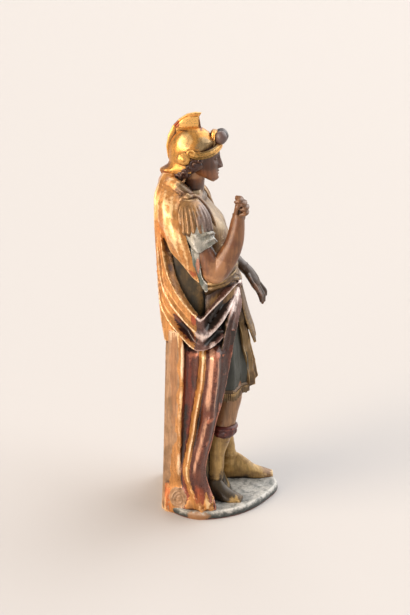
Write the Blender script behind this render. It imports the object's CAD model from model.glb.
"""A carved, gilded and painted statuette of a soldier in Roman dress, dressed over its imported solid.

Lengths in the rows below are millimetres in the figure's own frame: x to its left, f forwards, z up.
"""

import math

import bmesh
import bpy
import numpy as np
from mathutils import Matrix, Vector, noise
from mathutils.bvhtree import BVHTree
from mathutils.geometry import tessellate_polygon

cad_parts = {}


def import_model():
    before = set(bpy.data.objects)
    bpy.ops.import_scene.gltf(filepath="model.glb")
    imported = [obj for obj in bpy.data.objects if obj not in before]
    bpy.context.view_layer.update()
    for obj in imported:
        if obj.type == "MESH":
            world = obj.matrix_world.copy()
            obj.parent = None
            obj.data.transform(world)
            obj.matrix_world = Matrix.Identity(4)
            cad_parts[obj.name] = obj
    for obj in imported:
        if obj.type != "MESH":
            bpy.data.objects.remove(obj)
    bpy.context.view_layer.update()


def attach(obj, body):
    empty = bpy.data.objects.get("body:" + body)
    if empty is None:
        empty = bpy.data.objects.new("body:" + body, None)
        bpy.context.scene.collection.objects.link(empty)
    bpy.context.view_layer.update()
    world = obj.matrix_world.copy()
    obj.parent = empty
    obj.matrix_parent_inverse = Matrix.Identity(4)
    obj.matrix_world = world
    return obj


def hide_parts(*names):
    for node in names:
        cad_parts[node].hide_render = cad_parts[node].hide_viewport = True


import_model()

MM = 0.001
FOOTPRINT_MIDDLE = 14.0
HEIGHT = 392.0
PLINTH_THICKNESS = 8.0
CHIN_LEVEL = 327.0
HELMET = {"f": -11.5, "z": 356.0, "side": 19.5, "front": 22.5, "top": 23.0}
EAR = (18.0, -19.7, 351.8)
ARMHOLE = (37.0, -16.0, 320.0)
WAIST_LEVEL = 238.0
TUCK = (-14.0, 32.0, 230.0)
SKIRT_TOP_LEVEL = 212.0
HEM_LEVEL = 116.0
FRINGE_HEIGHT = 10.0
BOOT_TOP_LEVEL = 84.0
CLOAK_TOP = 192.0
TURN = 2 * math.pi

FINISHES = [
    "gilding",
    "flesh",
    "hair",
    "cuirass",
    "lappets",
    "sleeve",
    "tunic",
    "gold_trim",
    "mantle",
    "mantle_gold",
    "mantle_swag",
    "bare_wood",
    "pocket",
    "lining",
    "boots",
    "cuffs",
    "plinth_paint",
    "eyes",
    "peak_roll",
]


# Curves and bumps


def course(rows):
    """A smooth course through rows [t, value, ...]: a function of t that gives the values."""
    rows = np.asarray(rows, float)
    t, values = rows[:, 0], rows[:, 1:]
    last = len(rows) - 1
    before = np.maximum(np.arange(last + 1) - 1, 0)
    after = np.minimum(np.arange(last + 1) + 1, last)
    slope = (values[after] - values[before]) / (t[after] - t[before])[:, None]

    def place(at):
        at = np.asarray(at, float)
        i = np.clip(np.searchsorted(t, at, side="left") - 1, 0, last - 1)
        span = (t[i + 1] - t[i])[..., None]
        u = np.clip((at - t[i])[..., None] / span, 0, 1)
        return (
            values[i] * (2 * u**3 - 3 * u**2 + 1)
            + slope[i] * span * (u**3 - 2 * u**2 + u)
            + values[i + 1] * (3 * u**2 - 2 * u**3)
            + slope[i + 1] * span * (u**3 - u**2)
        )

    return place


def even_course(rows):
    return course([[i / (len(rows) - 1), *row] for i, row in enumerate(rows)])


def level_course(rows):
    return course([[z, x, f, z] for z, x, f in rows])


def bump(distance, reach):
    return np.exp(-((distance / reach) ** 2))


def smoothstep(value, low, high):
    u = np.clip((value - low) / (high - low), 0, 1)
    return u * u * (3 - 2 * u)


def world(points):
    """Rows [x, f, z] in millimetres as points of the scene in metres."""
    points = np.asarray(points, float)
    return np.stack([points[..., 0], FOOTPRINT_MIDDLE - points[..., 1], points[..., 2]], -1) * MM


# Shells: closed skins as (points, faces), still in the figure's frame


def signed_volume(points, faces):
    tris = np.array([[f[0], f[i], f[i + 1]] for f in faces for i in range(1, len(f) - 1)])
    a, b, c = points[tris[:, 0]], points[tris[:, 1]], points[tris[:, 2]]
    return float(np.einsum("ij,ij->i", a, np.cross(b, c)).sum() / 6)


def loft(rings, cap=None):
    """Rings of equally many points joined side by side, closed by cap's faces or by a fan."""
    rings = np.asarray(rings, float)
    count, around = rings.shape[:2]
    points = rings.reshape(-1, 3)
    k = np.arange(around)
    along = np.arange(count - 1)[:, None] * around
    following = (k + 1) % around
    quads = np.stack([along + k, along + following, along + around + following, along + around + k], -1)
    faces = quads.reshape(-1, 4).tolist()
    extra = []
    for end in (0, count - 1):
        first = end * around
        if cap is None:
            centre = len(points) + len(extra)
            extra.append(rings[end].mean(0))
            closing = [[first + a, first + (a + 1) % around, centre] for a in range(around)]
        else:
            closing = [[first + p for p in face] for face in cap]
        faces += [face[::-1] for face in closing] if end == 0 else closing
    if extra:
        points = np.concatenate([points, extra])
    if signed_volume(points, faces) > 0:
        faces = [face[::-1] for face in faces]
    return points, faces


def stack(levels, around=96, rows=60, cuts=None, power=2.0, even=1.0, swell=None, lift=None):
    """A body of level rings from rows [z, x, f, half width, half depth]. A quarter turn is the front."""
    u = 2 * np.arange(around) / around - 1
    angle = (TURN / 4 + math.pi * (even * u + (1 - even) * u**3))[None, :]
    z = np.linspace(levels[0][0], levels[-1][0], rows + 1) if cuts is None else np.asarray(cuts, float)
    x, f, width, depth = np.moveaxis(course(levels)(z), -1, 0)[:, :, None]
    z = z[:, None]
    c, s = np.cos(angle), np.sin(angle)
    round_ = (np.abs(c) ** power + np.abs(s) ** power) ** (-1 / power)
    out = swell(angle, z) if swell else 0
    up = lift(angle, z) if lift else 0
    return loft(
        np.stack(
            [x + c * (width * round_ + out), f + s * (depth * round_ + out), z + up + 0 * angle],
            -1,
        )
    )


def limb(stations, around=24, rows=40, across=(1, 0, 0), tips=(False, False), swell=None):
    """A rounded limb through rows [x, f, z, radius across, radius through], its tips rounded on request."""
    path = even_course(stations)
    side = np.asarray(across, float)
    t = np.linspace(0, 1, rows + 1)
    push = np.zeros(rows + 1)
    domes = np.array([0.3, 0.55, 0.75, 0.9, 0.98])
    if tips[0]:
        t, push = np.r_[np.zeros(len(domes)), t], np.r_[-domes[::-1], push]
    if tips[1]:
        t, push = np.r_[t, np.ones(len(domes))], np.r_[push, domes]
    tangent = path(np.minimum(t + 0.02, 1))[:, :3] - path(np.maximum(t - 0.02, 0))[:, :3]
    tangent /= np.linalg.norm(tangent, axis=1)[:, None]
    a = side - (tangent @ side)[:, None] * tangent
    a /= np.linalg.norm(a, axis=1)[:, None]
    b = np.cross(tangent, a)
    place = path(t)
    size = np.sqrt(1 - push**2)
    centre = place[:, :3] + tangent * (push * place[:, 3:5].min(1))[:, None]
    angle = np.arange(around) / around * TURN
    out = swell(angle[None, :], t[:, None]) if swell else np.zeros((1, 1))
    first = (place[:, 3:4] + out) * size[:, None] * np.cos(angle)
    second = (place[:, 4:5] + out) * size[:, None] * np.sin(angle)
    return loft(centre[:, None] + first[..., None] * a[:, None] + second[..., None] * b[:, None])


def curtain(crests, cuts, depth, wall, axis, per_fold=14, roundness=None, ripple=None, outside="mantle", shady=99):
    """Folded cloth from crest to crest, sunk by depth between them, with a wall's thickness inwards.

    Between crests the cloth bows outwards before it sinks, so that every crest is round, and roundness
    says how much, at (fold, step). Its inner face, and what is sunk by more than shady, takes the lining's
    finish.
    """
    v = np.asarray(cuts, float)
    tops = np.stack([crest(v) for crest in crests], 1)
    way = np.empty_like(tops)
    way[:, 1:-1] = (tops[:, 2:] - tops[:, :-2]) / 2
    way[:, 0], way[:, -1] = tops[:, 1] - tops[:, 0], tops[:, -1] - tops[:, -2]
    s = np.arange(per_fold) / per_fold
    outer, sinking = [], []
    for i in range(len(crests) - 1):
        start, end = tops[:, i], tops[:, i + 1]
        span = np.linalg.norm(end - start, axis=1)
        most = np.minimum(depth(i, v) + 0 * v, span * 0.9)
        hollow = most[:, None] * (1 - np.abs(np.cos(math.pi * s)) ** 3)
        sinking.append(hollow)
        if ripple:
            hollow = hollow + ripple(i, s[None, :], v[:, None])
        u = s[None, :, None]
        chord = start[:, None] + (end - start)[:, None] * u
        pull = [
            way[:, k] / np.maximum(np.linalg.norm(way[:, k], axis=1), 1e-6)[:, None] * span[:, None]
            for k in (i, i + 1)
        ]
        bowed = (
            start[:, None] * (2 * u**3 - 3 * u**2 + 1)
            + pull[0][:, None] * (u**3 - 2 * u**2 + u)
            + end[:, None] * (3 * u**2 - 2 * u**3)
            + pull[1][:, None] * (u**3 - u**2)
        )
        bow = (roundness(i, v) if roundness else 0.5) + 0 * v
        outer.append(sunk(chord + (bowed - chord) * bow[:, None, None], hollow, axis))
    outer = np.concatenate(outer + [tops[:, -1:]], 1)
    sinking = np.concatenate(sinking, 1)
    inner = sunk(outer[:, ::per_fold], (wall(v) + 0 * v)[:, None], axis)
    folds = len(crests) - 1
    cap = []
    for fold in range(folds):
        first = fold * per_fold
        inside = folds * per_fold + 1 + folds - fold
        cap += [[first + n, first + n + 1, inside] for n in range(per_fold)]
        cap.append([first + per_fold, inside - 1, inside])
    points, faces = loft(np.concatenate([outer, inner[:, ::-1]], 1), cap)
    around = len(outer[0]) + len(inner[0])
    shown = sinking.shape[1]
    names = []
    for n in range(len(faces)):
        step, place = divmod(n, around)
        if step >= len(v) - 1:
            names.append(outside)
        elif place < shown:
            names.append("lining" if sinking[step, place] > shady else outside)
        else:
            names.append("lining" if place < around - 1 else outside)
    return points, faces, names


def sunk(points, by, axis):
    inwards = np.asarray(axis, float) - points[..., :2]
    inwards /= np.linalg.norm(inwards, axis=-1)[..., None]
    moved = points.copy()
    moved[..., :2] += inwards * np.asarray(by)[..., None]
    return moved


def ball(x, f, z, wide, deep, high, around=20, rows=12):
    h = np.sin(np.linspace(-0.99, 0.99, rows + 1) * math.pi / 2)
    levels = [[z + high * a, x, f, wide * math.sqrt(1 - a * a), deep * math.sqrt(1 - a * a)] for a in h]
    return stack(levels, around=around, cuts=[level[0] for level in levels])


def mirrored(rows, side):
    return [[side * x, *rest] for x, *rest in rows]


# Objects

PALETTE = [bpy.data.materials.new(name) for name in FINISHES]


def carving(name, shells, finish):
    """One object from closed skins, with its finish unless a skin names a finish for each of its faces."""
    points, faces, finishes_, count = [], [], [], 0
    for shell_points, shell_faces, *own in shells:
        points.append(shell_points)
        faces += [[p + count for p in face] for face in shell_faces]
        finishes_ += own[0] if own else [finish] * len(shell_faces)
        count += len(shell_points)
    mesh = bpy.data.meshes.new(name)
    mesh.from_pydata(world(np.concatenate(points)).tolist(), [], faces)
    return painted(name, mesh, [FINISHES.index(f) for f in finishes_])


def painted(name, mesh, indices):
    mesh.materials.clear()
    for material in PALETTE:
        mesh.materials.append(material)
    mesh.polygons.foreach_set("material_index", np.array(indices, np.int32))
    piece = bpy.data.objects.new(name, mesh)
    bpy.context.scene.collection.objects.link(piece)
    return piece


def settle(piece):
    """Applies a piece's modifiers."""
    bpy.context.view_layer.update()
    evaluated = piece.evaluated_get(bpy.context.evaluated_depsgraph_get())
    made = bpy.data.meshes.new_from_object(evaluated)
    old = piece.data
    piece.modifiers.clear()
    piece.data = made
    bpy.data.meshes.remove(old)
    return piece


def fused(piece, voxel, faces=None, soften=1):
    """Melts a piece's skins into one, as if cut from one block, and thins it to about so many triangles.

    Each face keeps the finish of the nearest face before.
    """
    source = piece.data
    before = BVHTree.FromPolygons([v.co.copy() for v in source.vertices], [tuple(p.vertices) for p in source.polygons])
    finish_of = [p.material_index for p in source.polygons]
    remesh = piece.modifiers.new("fuse", "REMESH")
    remesh.mode = "VOXEL"
    remesh.voxel_size = voxel * MM
    smooth = piece.modifiers.new("soften", "SMOOTH")
    smooth.factor = 0.5
    smooth.iterations = soften
    settle(piece)
    triangles = 2 * len(piece.data.polygons)
    if faces and triangles > faces:
        thin = piece.modifiers.new("thin", "DECIMATE")
        thin.ratio = faces / triangles
        settle(piece)
    mesh = piece.data
    kept = [finish_of[before.find_nearest(p.center)[2]] for p in mesh.polygons]
    mesh.polygons.foreach_set("material_index", np.array(kept, np.int32))
    return piece


def cut_away(piece, tool):
    cut = piece.modifiers.new("cut", "BOOLEAN")
    cut.operation = "DIFFERENCE"
    cut.solver = "MANIFOLD"
    cut.object = tool
    settle(piece)
    bpy.data.objects.remove(tool)
    return piece


# Plinth

PLINTH_OUTLINE = [
    [-61, -8],
    [-57, 20],
    [-44, 43],
    [-22, 62],
    [4, 75],
    [24, 67],
    [37, 44],
    [43, 10],
    [44, -20],
    [38, -37],
    [-2, -38],
    [-38, -38],
    [-52, -26],
]


def closed_curve(corners, count):
    """A Catmull-Rom curve through corners, evenly spaced by length."""
    p = np.asarray(corners, float)
    n = len(p)
    chord = np.sqrt(np.linalg.norm(np.roll(p, -1, 0) - p, axis=1))
    fine = []
    for i in range(n):
        p0, p1, p2, p3 = p[i - 1], p[i], p[(i + 1) % n], p[(i + 2) % n]
        d0, d1, d2 = chord[i - 1], chord[i], chord[(i + 1) % n]
        m1 = (p1 - p0) / d0 - (p2 - p0) / (d0 + d1) + (p2 - p1) / d1
        m2 = (p2 - p1) / d1 - (p3 - p1) / (d1 + d2) + (p3 - p2) / d2
        u = np.linspace(0, 1, 40, endpoint=False)[:, None]
        fine.append(
            p1 * (2 * u**3 - 3 * u**2 + 1)
            + m1 * d1 * (u**3 - 2 * u**2 + u)
            + p2 * (3 * u**2 - 2 * u**3)
            + m2 * d1 * (u**3 - u**2)
        )
    fine = np.concatenate(fine + [fine[0][:1]])
    length = np.r_[0, np.cumsum(np.linalg.norm(np.diff(fine, axis=0), axis=1))]
    at = np.linspace(0, length[-1], count, endpoint=False)
    return np.stack([np.interp(at, length, fine[:, k]) for k in (0, 1)], 1)


def plinth():
    outline = closed_curve(PLINTH_OUTLINE, 150)
    middle = np.array([0, FOOTPRINT_MIDDLE])
    inward = middle - outline
    reach = np.linalg.norm(inward, axis=1)[:, None]
    inward /= reach
    rings = []
    profile = [(0, 0.6), (0.2, 0.15), (0.55, 0), (0.72, 0.15), (0.86, 0.7), (0.95, 1.5), (1, 2.6)]
    for share, inset in profile:
        rings.append(np.c_[outline + inward * inset, np.full(len(outline), share * PLINTH_THICKNESS)])
    for share in np.linspace(0.06, 0.97, 22):
        flat = outline + inward * (2.6 + (reach - 2.6) * share)
        worn = 0.25 * np.sin(flat[:, 0] * 0.31 + 1.3) * np.sin(flat[:, 1] * 0.27)
        rings.append(np.c_[flat, PLINTH_THICKNESS - 0.25 + worn])
    return carving("plinth", [loft(rings)], "plinth_paint")


def core():
    levels = [
        [0, 1, -15, 39, 22],
        [130, 3, -14, 41, 21],
        [200, 3, -16, 41, 22],
        [262, 0, -19, 34, 21],
        [302, 0, -23, 31, 18],
        [324, 0, -25, 19, 11],
    ]
    return carving("core", [stack(levels, around=60, rows=40, power=4)], "lining")


def ankle_support():
    levels = [
        [PLINTH_THICKNESS - 1, -6, 9, 17, 17],
        [14, -9, 9, 14, 15],
        [22, -11, 9, 11, 12],
        [32, -14.5, 8.5, 8.5, 10],
        [42, -17, 8, 7, 9],
    ]
    return carving("ankle_support", [stack(levels, around=40, rows=24, power=2.6)], "boots")


# Body and cuirass

TORSO_LEVELS = [
    [184, 0, 4, 33, 25],
    [206, -1, 7, 34, 26],
    [230, -1, 9, 31, 24],
    [246, 0, 8, 29.5, 22.5],
    [262, 0, 5, 30.5, 21],
    [277, 0, 1, 33, 21.5],
    [290, 0, -4, 35, 20],
    [302, 0, -9, 33, 17],
    [311, 0, -13, 27, 14],
    [320, 0, -14, 15, 11],
]


def cuirass():
    def muscles(angle, z):
        side = np.abs(angle - TURN / 4)
        chest = 2.5 * bump(z - 290, 8) * bump(side - 0.5, 0.4)
        under_chest = -0.9 * bump(z - 279 - 2.4 * bump(side - 0.5, 0.4), 1.7) * bump(side - 0.5, 0.45)
        cleft = -1.0 * bump(side, 0.07) * smoothstep(z, 250, 262) * (1 - smoothstep(z, 292, 304))
        rows = sum(bump(z - level, 3.4) for level in (271, 262.5, 254))
        belly = 1.2 * rows * bump(side - 0.2, 0.17)
        ribs = 0.7 * np.sin((z - 6 * side) * 0.95) * bump(z - 268, 9) * bump(side - 0.85, 0.26)
        arch = -0.8 * bump(z - 276 + 14 * side**1.4, 1.6) * bump(side - 0.3, 0.28)
        return chest + under_chest + cleft + belly + ribs + arch

    shell = stack(TORSO_LEVELS, around=110, rows=70, power=2.3, even=0.7, swell=muscles)
    return carving("cuirass", [shell], "cuirass")


def cuirass_edges():
    shape = course(TORSO_LEVELS)

    def rim(level, out, thick):
        u = np.linspace(0, 1, 49)
        angle = (u - 0.02) * 0.52 * TURN
        z = level - 7 * bump(angle - TURN / 4, 0.55)
        x, f, width, depth = shape(z).T
        return np.stack(
            [x + np.cos(angle) * (width + out), f + np.sin(angle) * (depth + out), z, thick + 0 * z, thick + 0 * z],
            1,
        )

    lower = limb(rim(WAIST_LEVEL, 0.8, 2.2), around=14, rows=120, across=(0, 0, 1))
    upper = limb(rim(WAIST_LEVEL + 4.6, 0.4, 1.1), around=10, rows=120, across=(0, 0, 1))
    collar = stack(
        [[308, 0, -12.5, 26, 14.5], [311, 0, -12.6, 24.2, 14.8], [314, 0, -13, 21, 14.4], [317, 0, -14, 16.5, 13]],
        around=72,
        rows=12,
    )
    return carving("cuirass_edges", [lower, upper, collar], "gold_trim")


def waist_lappets():
    shape = course(TORSO_LEVELS)

    def lappet(angle):
        spread = np.array([math.cos(angle), math.sin(angle)])

        def place(z, out, wide, thick):
            x, f, width, depth = shape(max(z, SKIRT_TOP_LEVEL))
            return [x + spread[0] * (width + out), f + spread[1] * (depth + out), z, wide, thick]

        stations = [
            place(WAIST_LEVEL - 6, -1, 5.5, 2.6),
            place(WAIST_LEVEL - 24, 3, 6.4, 2.4),
            place(WAIST_LEVEL - 42, 8, 6.8, 2.2),
            place(WAIST_LEVEL - 58, 13.5, 5.2, 2),
            place(WAIST_LEVEL - 69, 16.5, 1.4, 1.4),
        ]

        def fold(a, t):
            return -0.55 * bump(np.cos(a), 0.25) + 0.5 * bump(np.abs(np.cos(a)) - 0.95, 0.12)

        return limb(stations, around=28, rows=36, across=(-spread[1], spread[0], 0), swell=fold)

    return carving("waist_lappets", [lappet(a) for a in (-0.1, 0.28, 0.66, 1.04, 1.42, 1.8)], "gold_trim")


# Head

NOSE_LEVEL = CHIN_LEVEL + 13
BROW_LEVEL = CHIN_LEVEL + 26
EYE_LEVEL = BROW_LEVEL - 4
MOUTH_LEVEL = CHIN_LEVEL + 8.4
HEAD_LEVELS = [
    [CHIN_LEVEL - 1, 0, 0.4, 6, 8],
    [CHIN_LEVEL + 1.5, 0, -2.8, 10, 14],
    [CHIN_LEVEL + 6, 0, -5.6, 12.4, 17.4],
    [CHIN_LEVEL + 13, 0, -7.6, 14.6, 20],
    [CHIN_LEVEL + 20, 0, -8.6, 16, 21],
    [CHIN_LEVEL + 28, 0, -9, 16.6, 21.6],
    [CHIN_LEVEL + 37, 0, -10, 15.5, 20.5],
]


def face_relief(angle, z):
    side = np.abs(angle - TURN / 4)
    bridge = smoothstep(z, NOSE_LEVEL - 1.8, NOSE_LEVEL + 0.4)
    slope = 1 - smoothstep(z, NOSE_LEVEL, BROW_LEVEL + 2)
    nose = bridge * (0.9 + 3.6 * slope) * bump(side, 0.1 + 0.09 * slope)
    wings = 1.2 * bump(z - NOSE_LEVEL - 1.2, 1.6) * bump(side - 0.185, 0.075)
    sockets = -2.1 * bump(side - 0.37, 0.21) * bump(z - EYE_LEVEL, 3)
    eyeballs = 1.3 * bump(side - 0.38, 0.13) * bump(z - EYE_LEVEL, 1.8)
    lids = 0.4 * bump(side - 0.38, 0.16) * (bump(z - EYE_LEVEL - 1.5, 0.5) + 0.7 * bump(z - EYE_LEVEL + 1.5, 0.45))
    brows = 0.9 * bump(side - 0.34, 0.28) * bump(z - BROW_LEVEL, 1.6)
    lips = 1.25 * bump(side, 0.2) * (bump(z - MOUTH_LEVEL - 1.3, 1) + bump(z - MOUTH_LEVEL + 1.3, 1.1))
    parting = -0.8 * bump(side, 0.23) * bump(z - MOUTH_LEVEL, 0.4)
    chin = 1.4 * bump(side, 0.32) * bump(z - CHIN_LEVEL - 3, 2.2)
    cheeks = 0.8 * bump(side - 0.62, 0.25) * bump(z - NOSE_LEVEL - 3, 4)
    return nose + wings + sockets + eyeballs + lids + brows + lips + parting + chin + cheeks


def head():
    def jaw_rise(angle, z):
        return 9 * (1 - np.sin(angle)) / 2 * (1 - smoothstep(z, CHIN_LEVEL, CHIN_LEVEL + 24))

    face = stack(HEAD_LEVELS, around=110, rows=76, even=0.4, swell=face_relief, lift=jaw_rise)
    neck = limb(
        [[0, -17, 304, 14, 13], [0, -13.5, 316, 11.6, 12.2], [0, -12, 327, 11.2, 11.6], [0, -11, 340, 12, 12]],
        around=48,
        rows=24,
        swell=lambda a, t: 0.8 * bump(np.cos(a) - 0.55, 0.2) * np.sin(math.pi * t),
    )
    return carving("head", [face, neck], "flesh")


EYES = [(side * 5.75, 9.6, EYE_LEVEL) for side in (-1, 1)]


def eyes():
    """A shallow lens in each socket."""
    return carving("eyes", [ball(*place, 2.2, 1.7, 1.35) for place in EYES], "eyes")


# Helmet


def helmet_dome():
    f, z, side, front, top = (HELMET[k] for k in ("f", "z", "side", "front", "top"))
    low = z - 14
    levels = [[low, 0, f - 0.5, side - 0.6, front - 1], [z - 7, 0, f, side, front - 0.2]]
    for h in np.sin(np.linspace(0, 0.97, 20) * math.pi / 2):
        levels.append([z + h * top, 0, f, side * math.sqrt(1 - h * h), front * math.sqrt(1 - h * h)])
    cuts = np.r_[np.linspace(low, z, 14)[:-1], [row[0] for row in levels[2:]]]

    def open_front(angle, level):
        facing = np.clip(np.sin(angle), -1, 1)
        edge = 18.5 * smoothstep(facing, -0.25, 0.75)
        return edge * (1 - smoothstep(level, low, z + 0.8 * top)) ** 1.2

    return carving("helmet_dome", [stack(levels, around=110, cuts=cuts, lift=open_front)], "gilding")


def brim():
    u = np.linspace(0, 1, 61)
    angle = (u - 0.5) * 3.6
    away = np.abs(angle)
    z = 354.6 + 8.4 * np.cos(angle / 2) ** 16 + 3 * smoothstep(away, 1.35, 1.8)
    reach = 0.8 + 2.4 * np.cos(angle / 2) ** 6

    def roll(out, down, high, thick):
        rows = [
            np.sin(angle) * (HELMET["side"] + 0.6 + out),
            HELMET["f"] + np.cos(angle) * (HELMET["front"] + reach + out),
            z - down,
            high + 0 * z,
            thick + 0 * z,
        ]
        return limb(np.stack(rows, 1), around=16, rows=120, across=(0, 0, 1))

    shells = [roll(0, 0, 2.5, 2.2), roll(0.9, 2.6, 1.3, 1.6), roll(0.3, -2.4, 0.9, 1.3)]
    for side in (-1, 1):
        shells.append(scroll(side * (HELMET["side"] + 1.6), -13.5, 356.5, 3.6, side))
    return carving("brim", shells, "gilding")


def scroll(x, f, z, radius, side):
    """A little volute lying against the side of the helmet."""
    t = np.linspace(0, 1, 40)
    turn = TURN * 1.35 * t - 0.4
    reach = radius * (1 - 0.75 * t)
    rows = np.stack(
        [x + 0 * t, f + np.cos(turn) * reach, z + np.sin(turn) * reach, 1.5 - 0.4 * t, 1.3 - 0.3 * t], 1
    )
    return limb(rows, around=12, rows=48, tips=(True, True))


def peak():
    plate = limb(
        [[0, 8.5, 359.5, 10, 5], [0, 8.6, 366, 9.4, 4.6], [0, 9, 372, 8.4, 3.6]],
        around=40,
        rows=16,
        tips=(False, True),
        swell=lambda a, t: 0.5 * np.cos(a * 8),
    )
    return carving("peak", [plate], "gilding")


def peak_roll():
    roll = limb(
        [[-6.5, 14.8, 369, 5.6, 6.2], [0, 15.6, 369.3, 6, 6.6], [6.5, 14.8, 369, 5.6, 6.2]],
        around=36,
        rows=24,
        across=(0, 1, 0),
        tips=(True, True),
        swell=lambda a, t: 0.25 * np.cos(t * 40) + 0.15 * np.cos(a * 5),
    )
    return carving("peak_roll", [roll], "peak_roll")


def slab(name, outline, thickness, bevel, finish):
    """A slab with rounded edges, cut to an outline of [f, z] in the middle plane."""
    points = np.array(closed_polyline(outline, 0.9))
    along = np.roll(points, -1, 0) - np.roll(points, 1, 0)
    inward = np.stack([-along[:, 1], along[:, 0]], 1)
    inward /= np.linalg.norm(inward, axis=1)[:, None]
    turned = np.cross(points, np.roll(points, -1, 0)).sum() < 0
    inward = -inward if turned else inward
    half = thickness / 2
    rings = []
    for across, inset in ((0, 1), (0.3, 0.3), (1, 0)):
        rings.append(np.c_[np.full(len(points), half - bevel * across), points + inward * bevel * inset])
    rings = rings + [ring * [-1, 1, 1] for ring in rings[::-1]]
    cap = [list(face) for face in tessellate_polygon([[Vector((*point, 0)) for point in points]])]
    corners = points[np.array(cap)]
    area = np.cross(corners[:, 1] - corners[:, 0], corners[:, 2] - corners[:, 0]).sum()
    if (area < 0) != turned:
        cap = [face[::-1] for face in cap]
    return carving(name, [loft(rings, cap)], finish)


def closed_polyline(corners, step):
    """Corners joined by straight lines with points every step."""
    fine = []
    for a, b in zip(corners, corners[1:] + corners[:1]):
        a, b = np.array(a, float), np.array(b, float)
        count = max(1, round(np.linalg.norm(b - a) / step))
        fine += [a + (b - a) * i / count for i in range(count)]
    return fine


COMB_OUTLINE = [
    [-31, 341],
    [-34.8, 350],
    [-36.2, 360],
    [-34.5, 370],
    [-30, 379],
    [-24, 385.2],
    [-16.5, 390],
    [-9, HEIGHT - 0.4],
    [-3.2, HEIGHT - 1],
    [-5.4, 387.5],
    [-4.6, 383],
    [-3.4, 376],
    [-12, 366],
    [-24, 352],
]
CREST_OUTLINE = [
    [-26.5, 372],
    [-27.4, 379.5],
    [-21, 385.6],
    [-14, 389],
    [-5.6, 389.4],
    [-6.2, 384],
    [-4.5, 376],
    [-14, 370],
]


def neck_guard():
    u = np.linspace(0.02, 0.98, 90)
    angle = (TURN * (0.5 + 0.5 * u))[:, None]
    spread = (np.sin(math.pi * u) ** 1.8)[:, None]
    ribs = (0.35 * np.cos(u * 70))[:, None]

    def edge(out, z, inset=0):
        return np.concatenate(
            [
                np.cos(angle) * (HELMET["side"] - 0.5 - inset + out * 0.3 * spread),
                HELMET["f"] + np.sin(angle) * (HELMET["front"] - 1 - inset + out * spread + ribs * out / 9),
                z + 5 * (1 - spread),
            ],
            1,
        )

    profile = [(0.3, 350), (0.8, 346), (2, 343), (4.4, 340.8), (7.4, 339.4), (9, 338.4), (9.4, 337), (8.6, 335.2)]
    profile += [(7.4, 333.6), (5, 333.2)]
    rings = [edge(out, z) for out, z in profile] + [edge(0, 342, 3)]
    return carving("neck_guard", [loft(np.stack(rings, 1))], "gilding")


# Sleeves, arms and hands

RIGHT_ARM = [
    [-48, -4, 276, 9.5, 9.5],
    [-50, 3.5, 262, 10, 10],
    [-50.5, 9, 252, 10.4, 10.6],
    [-50.3, 18.6, 264, 10, 10.4],
    [-49.5, 25.4, 278, 8.6, 8.8],
    [-48.5, 28.4, 290, 7.4, 7.6],
    [-47.8, 29.9, 301, 6.2, 6.4],
    [-47.5, 30.6, 307, 5.4, 5.8],
]
LEFT_ARM = [
    [46, -4, 276, 9.5, 9.5],
    [49.5, 1, 261, 10, 10],
    [50.5, 6, 250.5, 9.8, 10],
    [49.5, 14, 245, 9.6, 9.4],
    [47, 25, 237.5, 8.6, 8.2],
    [44.5, 34, 231, 6.6, 6.4],
    [43.5, 40, 227, 6.4, 5.8],
]


def shoulder_lappets(side):
    strips = 19
    levels = [
        [288.5, side * 46.2, -9.5, 12.3, 16.5],
        [294, side * 46, -9.8, 12.5, 16.6],
        [304, side * 44.5, -11, 12, 15.5],
        [313, side * 41, -13, 9.6, 12.2],
        [319, side * 36, -14.5, 6.6, 7.6],
    ]

    def flute(angle):
        return np.abs(np.sin(angle * strips / 2)) ** 0.45

    def swell(angle, z):
        rolled = 0.5 * bump(z - 292.5, 1.6) * flute(angle)
        return 1.7 * smoothstep(317 - z, 0, 8) * (flute(angle) - 0.72) + rolled

    def lift(angle, z):
        return 4.2 * (1 - flute(angle)) * (1 - smoothstep(z, 288.5, 294))

    shell = stack(levels, around=strips * 10, rows=34, swell=swell, lift=lift)
    return carving(f"shoulder_lappets_{side}", [shell], "lappets")


def armhole_rim(side):
    band = [
        [ARMHOLE[0], ARMHOLE[1] - 11, 311, 2.4, 2.6],
        [ARMHOLE[0] + 1.5, ARMHOLE[1] - 4, ARMHOLE[2] - 1, 2.6, 2.8],
        [ARMHOLE[0] - 3, ARMHOLE[1] + 6, ARMHOLE[2], 2.6, 2.8],
        [ARMHOLE[0] - 8, ARMHOLE[1] + 15, 311, 2.8, 2.6],
        [ARMHOLE[0] - 10, ARMHOLE[1] + 21, 300, 2.8, 2.6],
        [ARMHOLE[0] - 10, ARMHOLE[1] + 25, 288, 2.6, 2.4],
        [ARMHOLE[0] - 8, ARMHOLE[1] + 25, 277, 2, 2],
    ]
    x, f, z = ARMHOLE
    shells = [
        limb(mirrored(band, side), around=14, rows=90, across=(side, 0, 0)),
        ball(side * x, f, z + 0.5, 4.6, 5, 3.4),
        ball(side * (x + 1.5), f, z + 2.4, 2.2, 2.4, 1.9),
    ]
    return fused(carving(f"armhole_rim_{side}", shells, "lappets"), 0.6, faces=5000)


def forearm_muscles(angle, t):
    elbow = 0.9 * bump(t - 0.29, 0.05) * bump(np.sin(angle) + 0.9, 0.5)
    wrist = 0.5 * bump(t - 0.93, 0.05) * np.cos(2 * angle)
    cords = 0.45 * np.sin(angle * 3 + t * 5) * bump(t - 0.6, 0.22)
    return elbow + wrist + cords


def finger(points, radius):
    count = len(points) - 1
    stations = [[*p, radius * (1 - 0.25 * i / count), radius * (1 - 0.25 * i / count)] for i, p in enumerate(points)]
    knuckles = lambda a, t: 0.22 * np.cos(t * TURN * 1.5) * radius / 2.6
    return limb(stations, around=16, rows=20, tips=(False, True), swell=knuckles)


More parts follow.
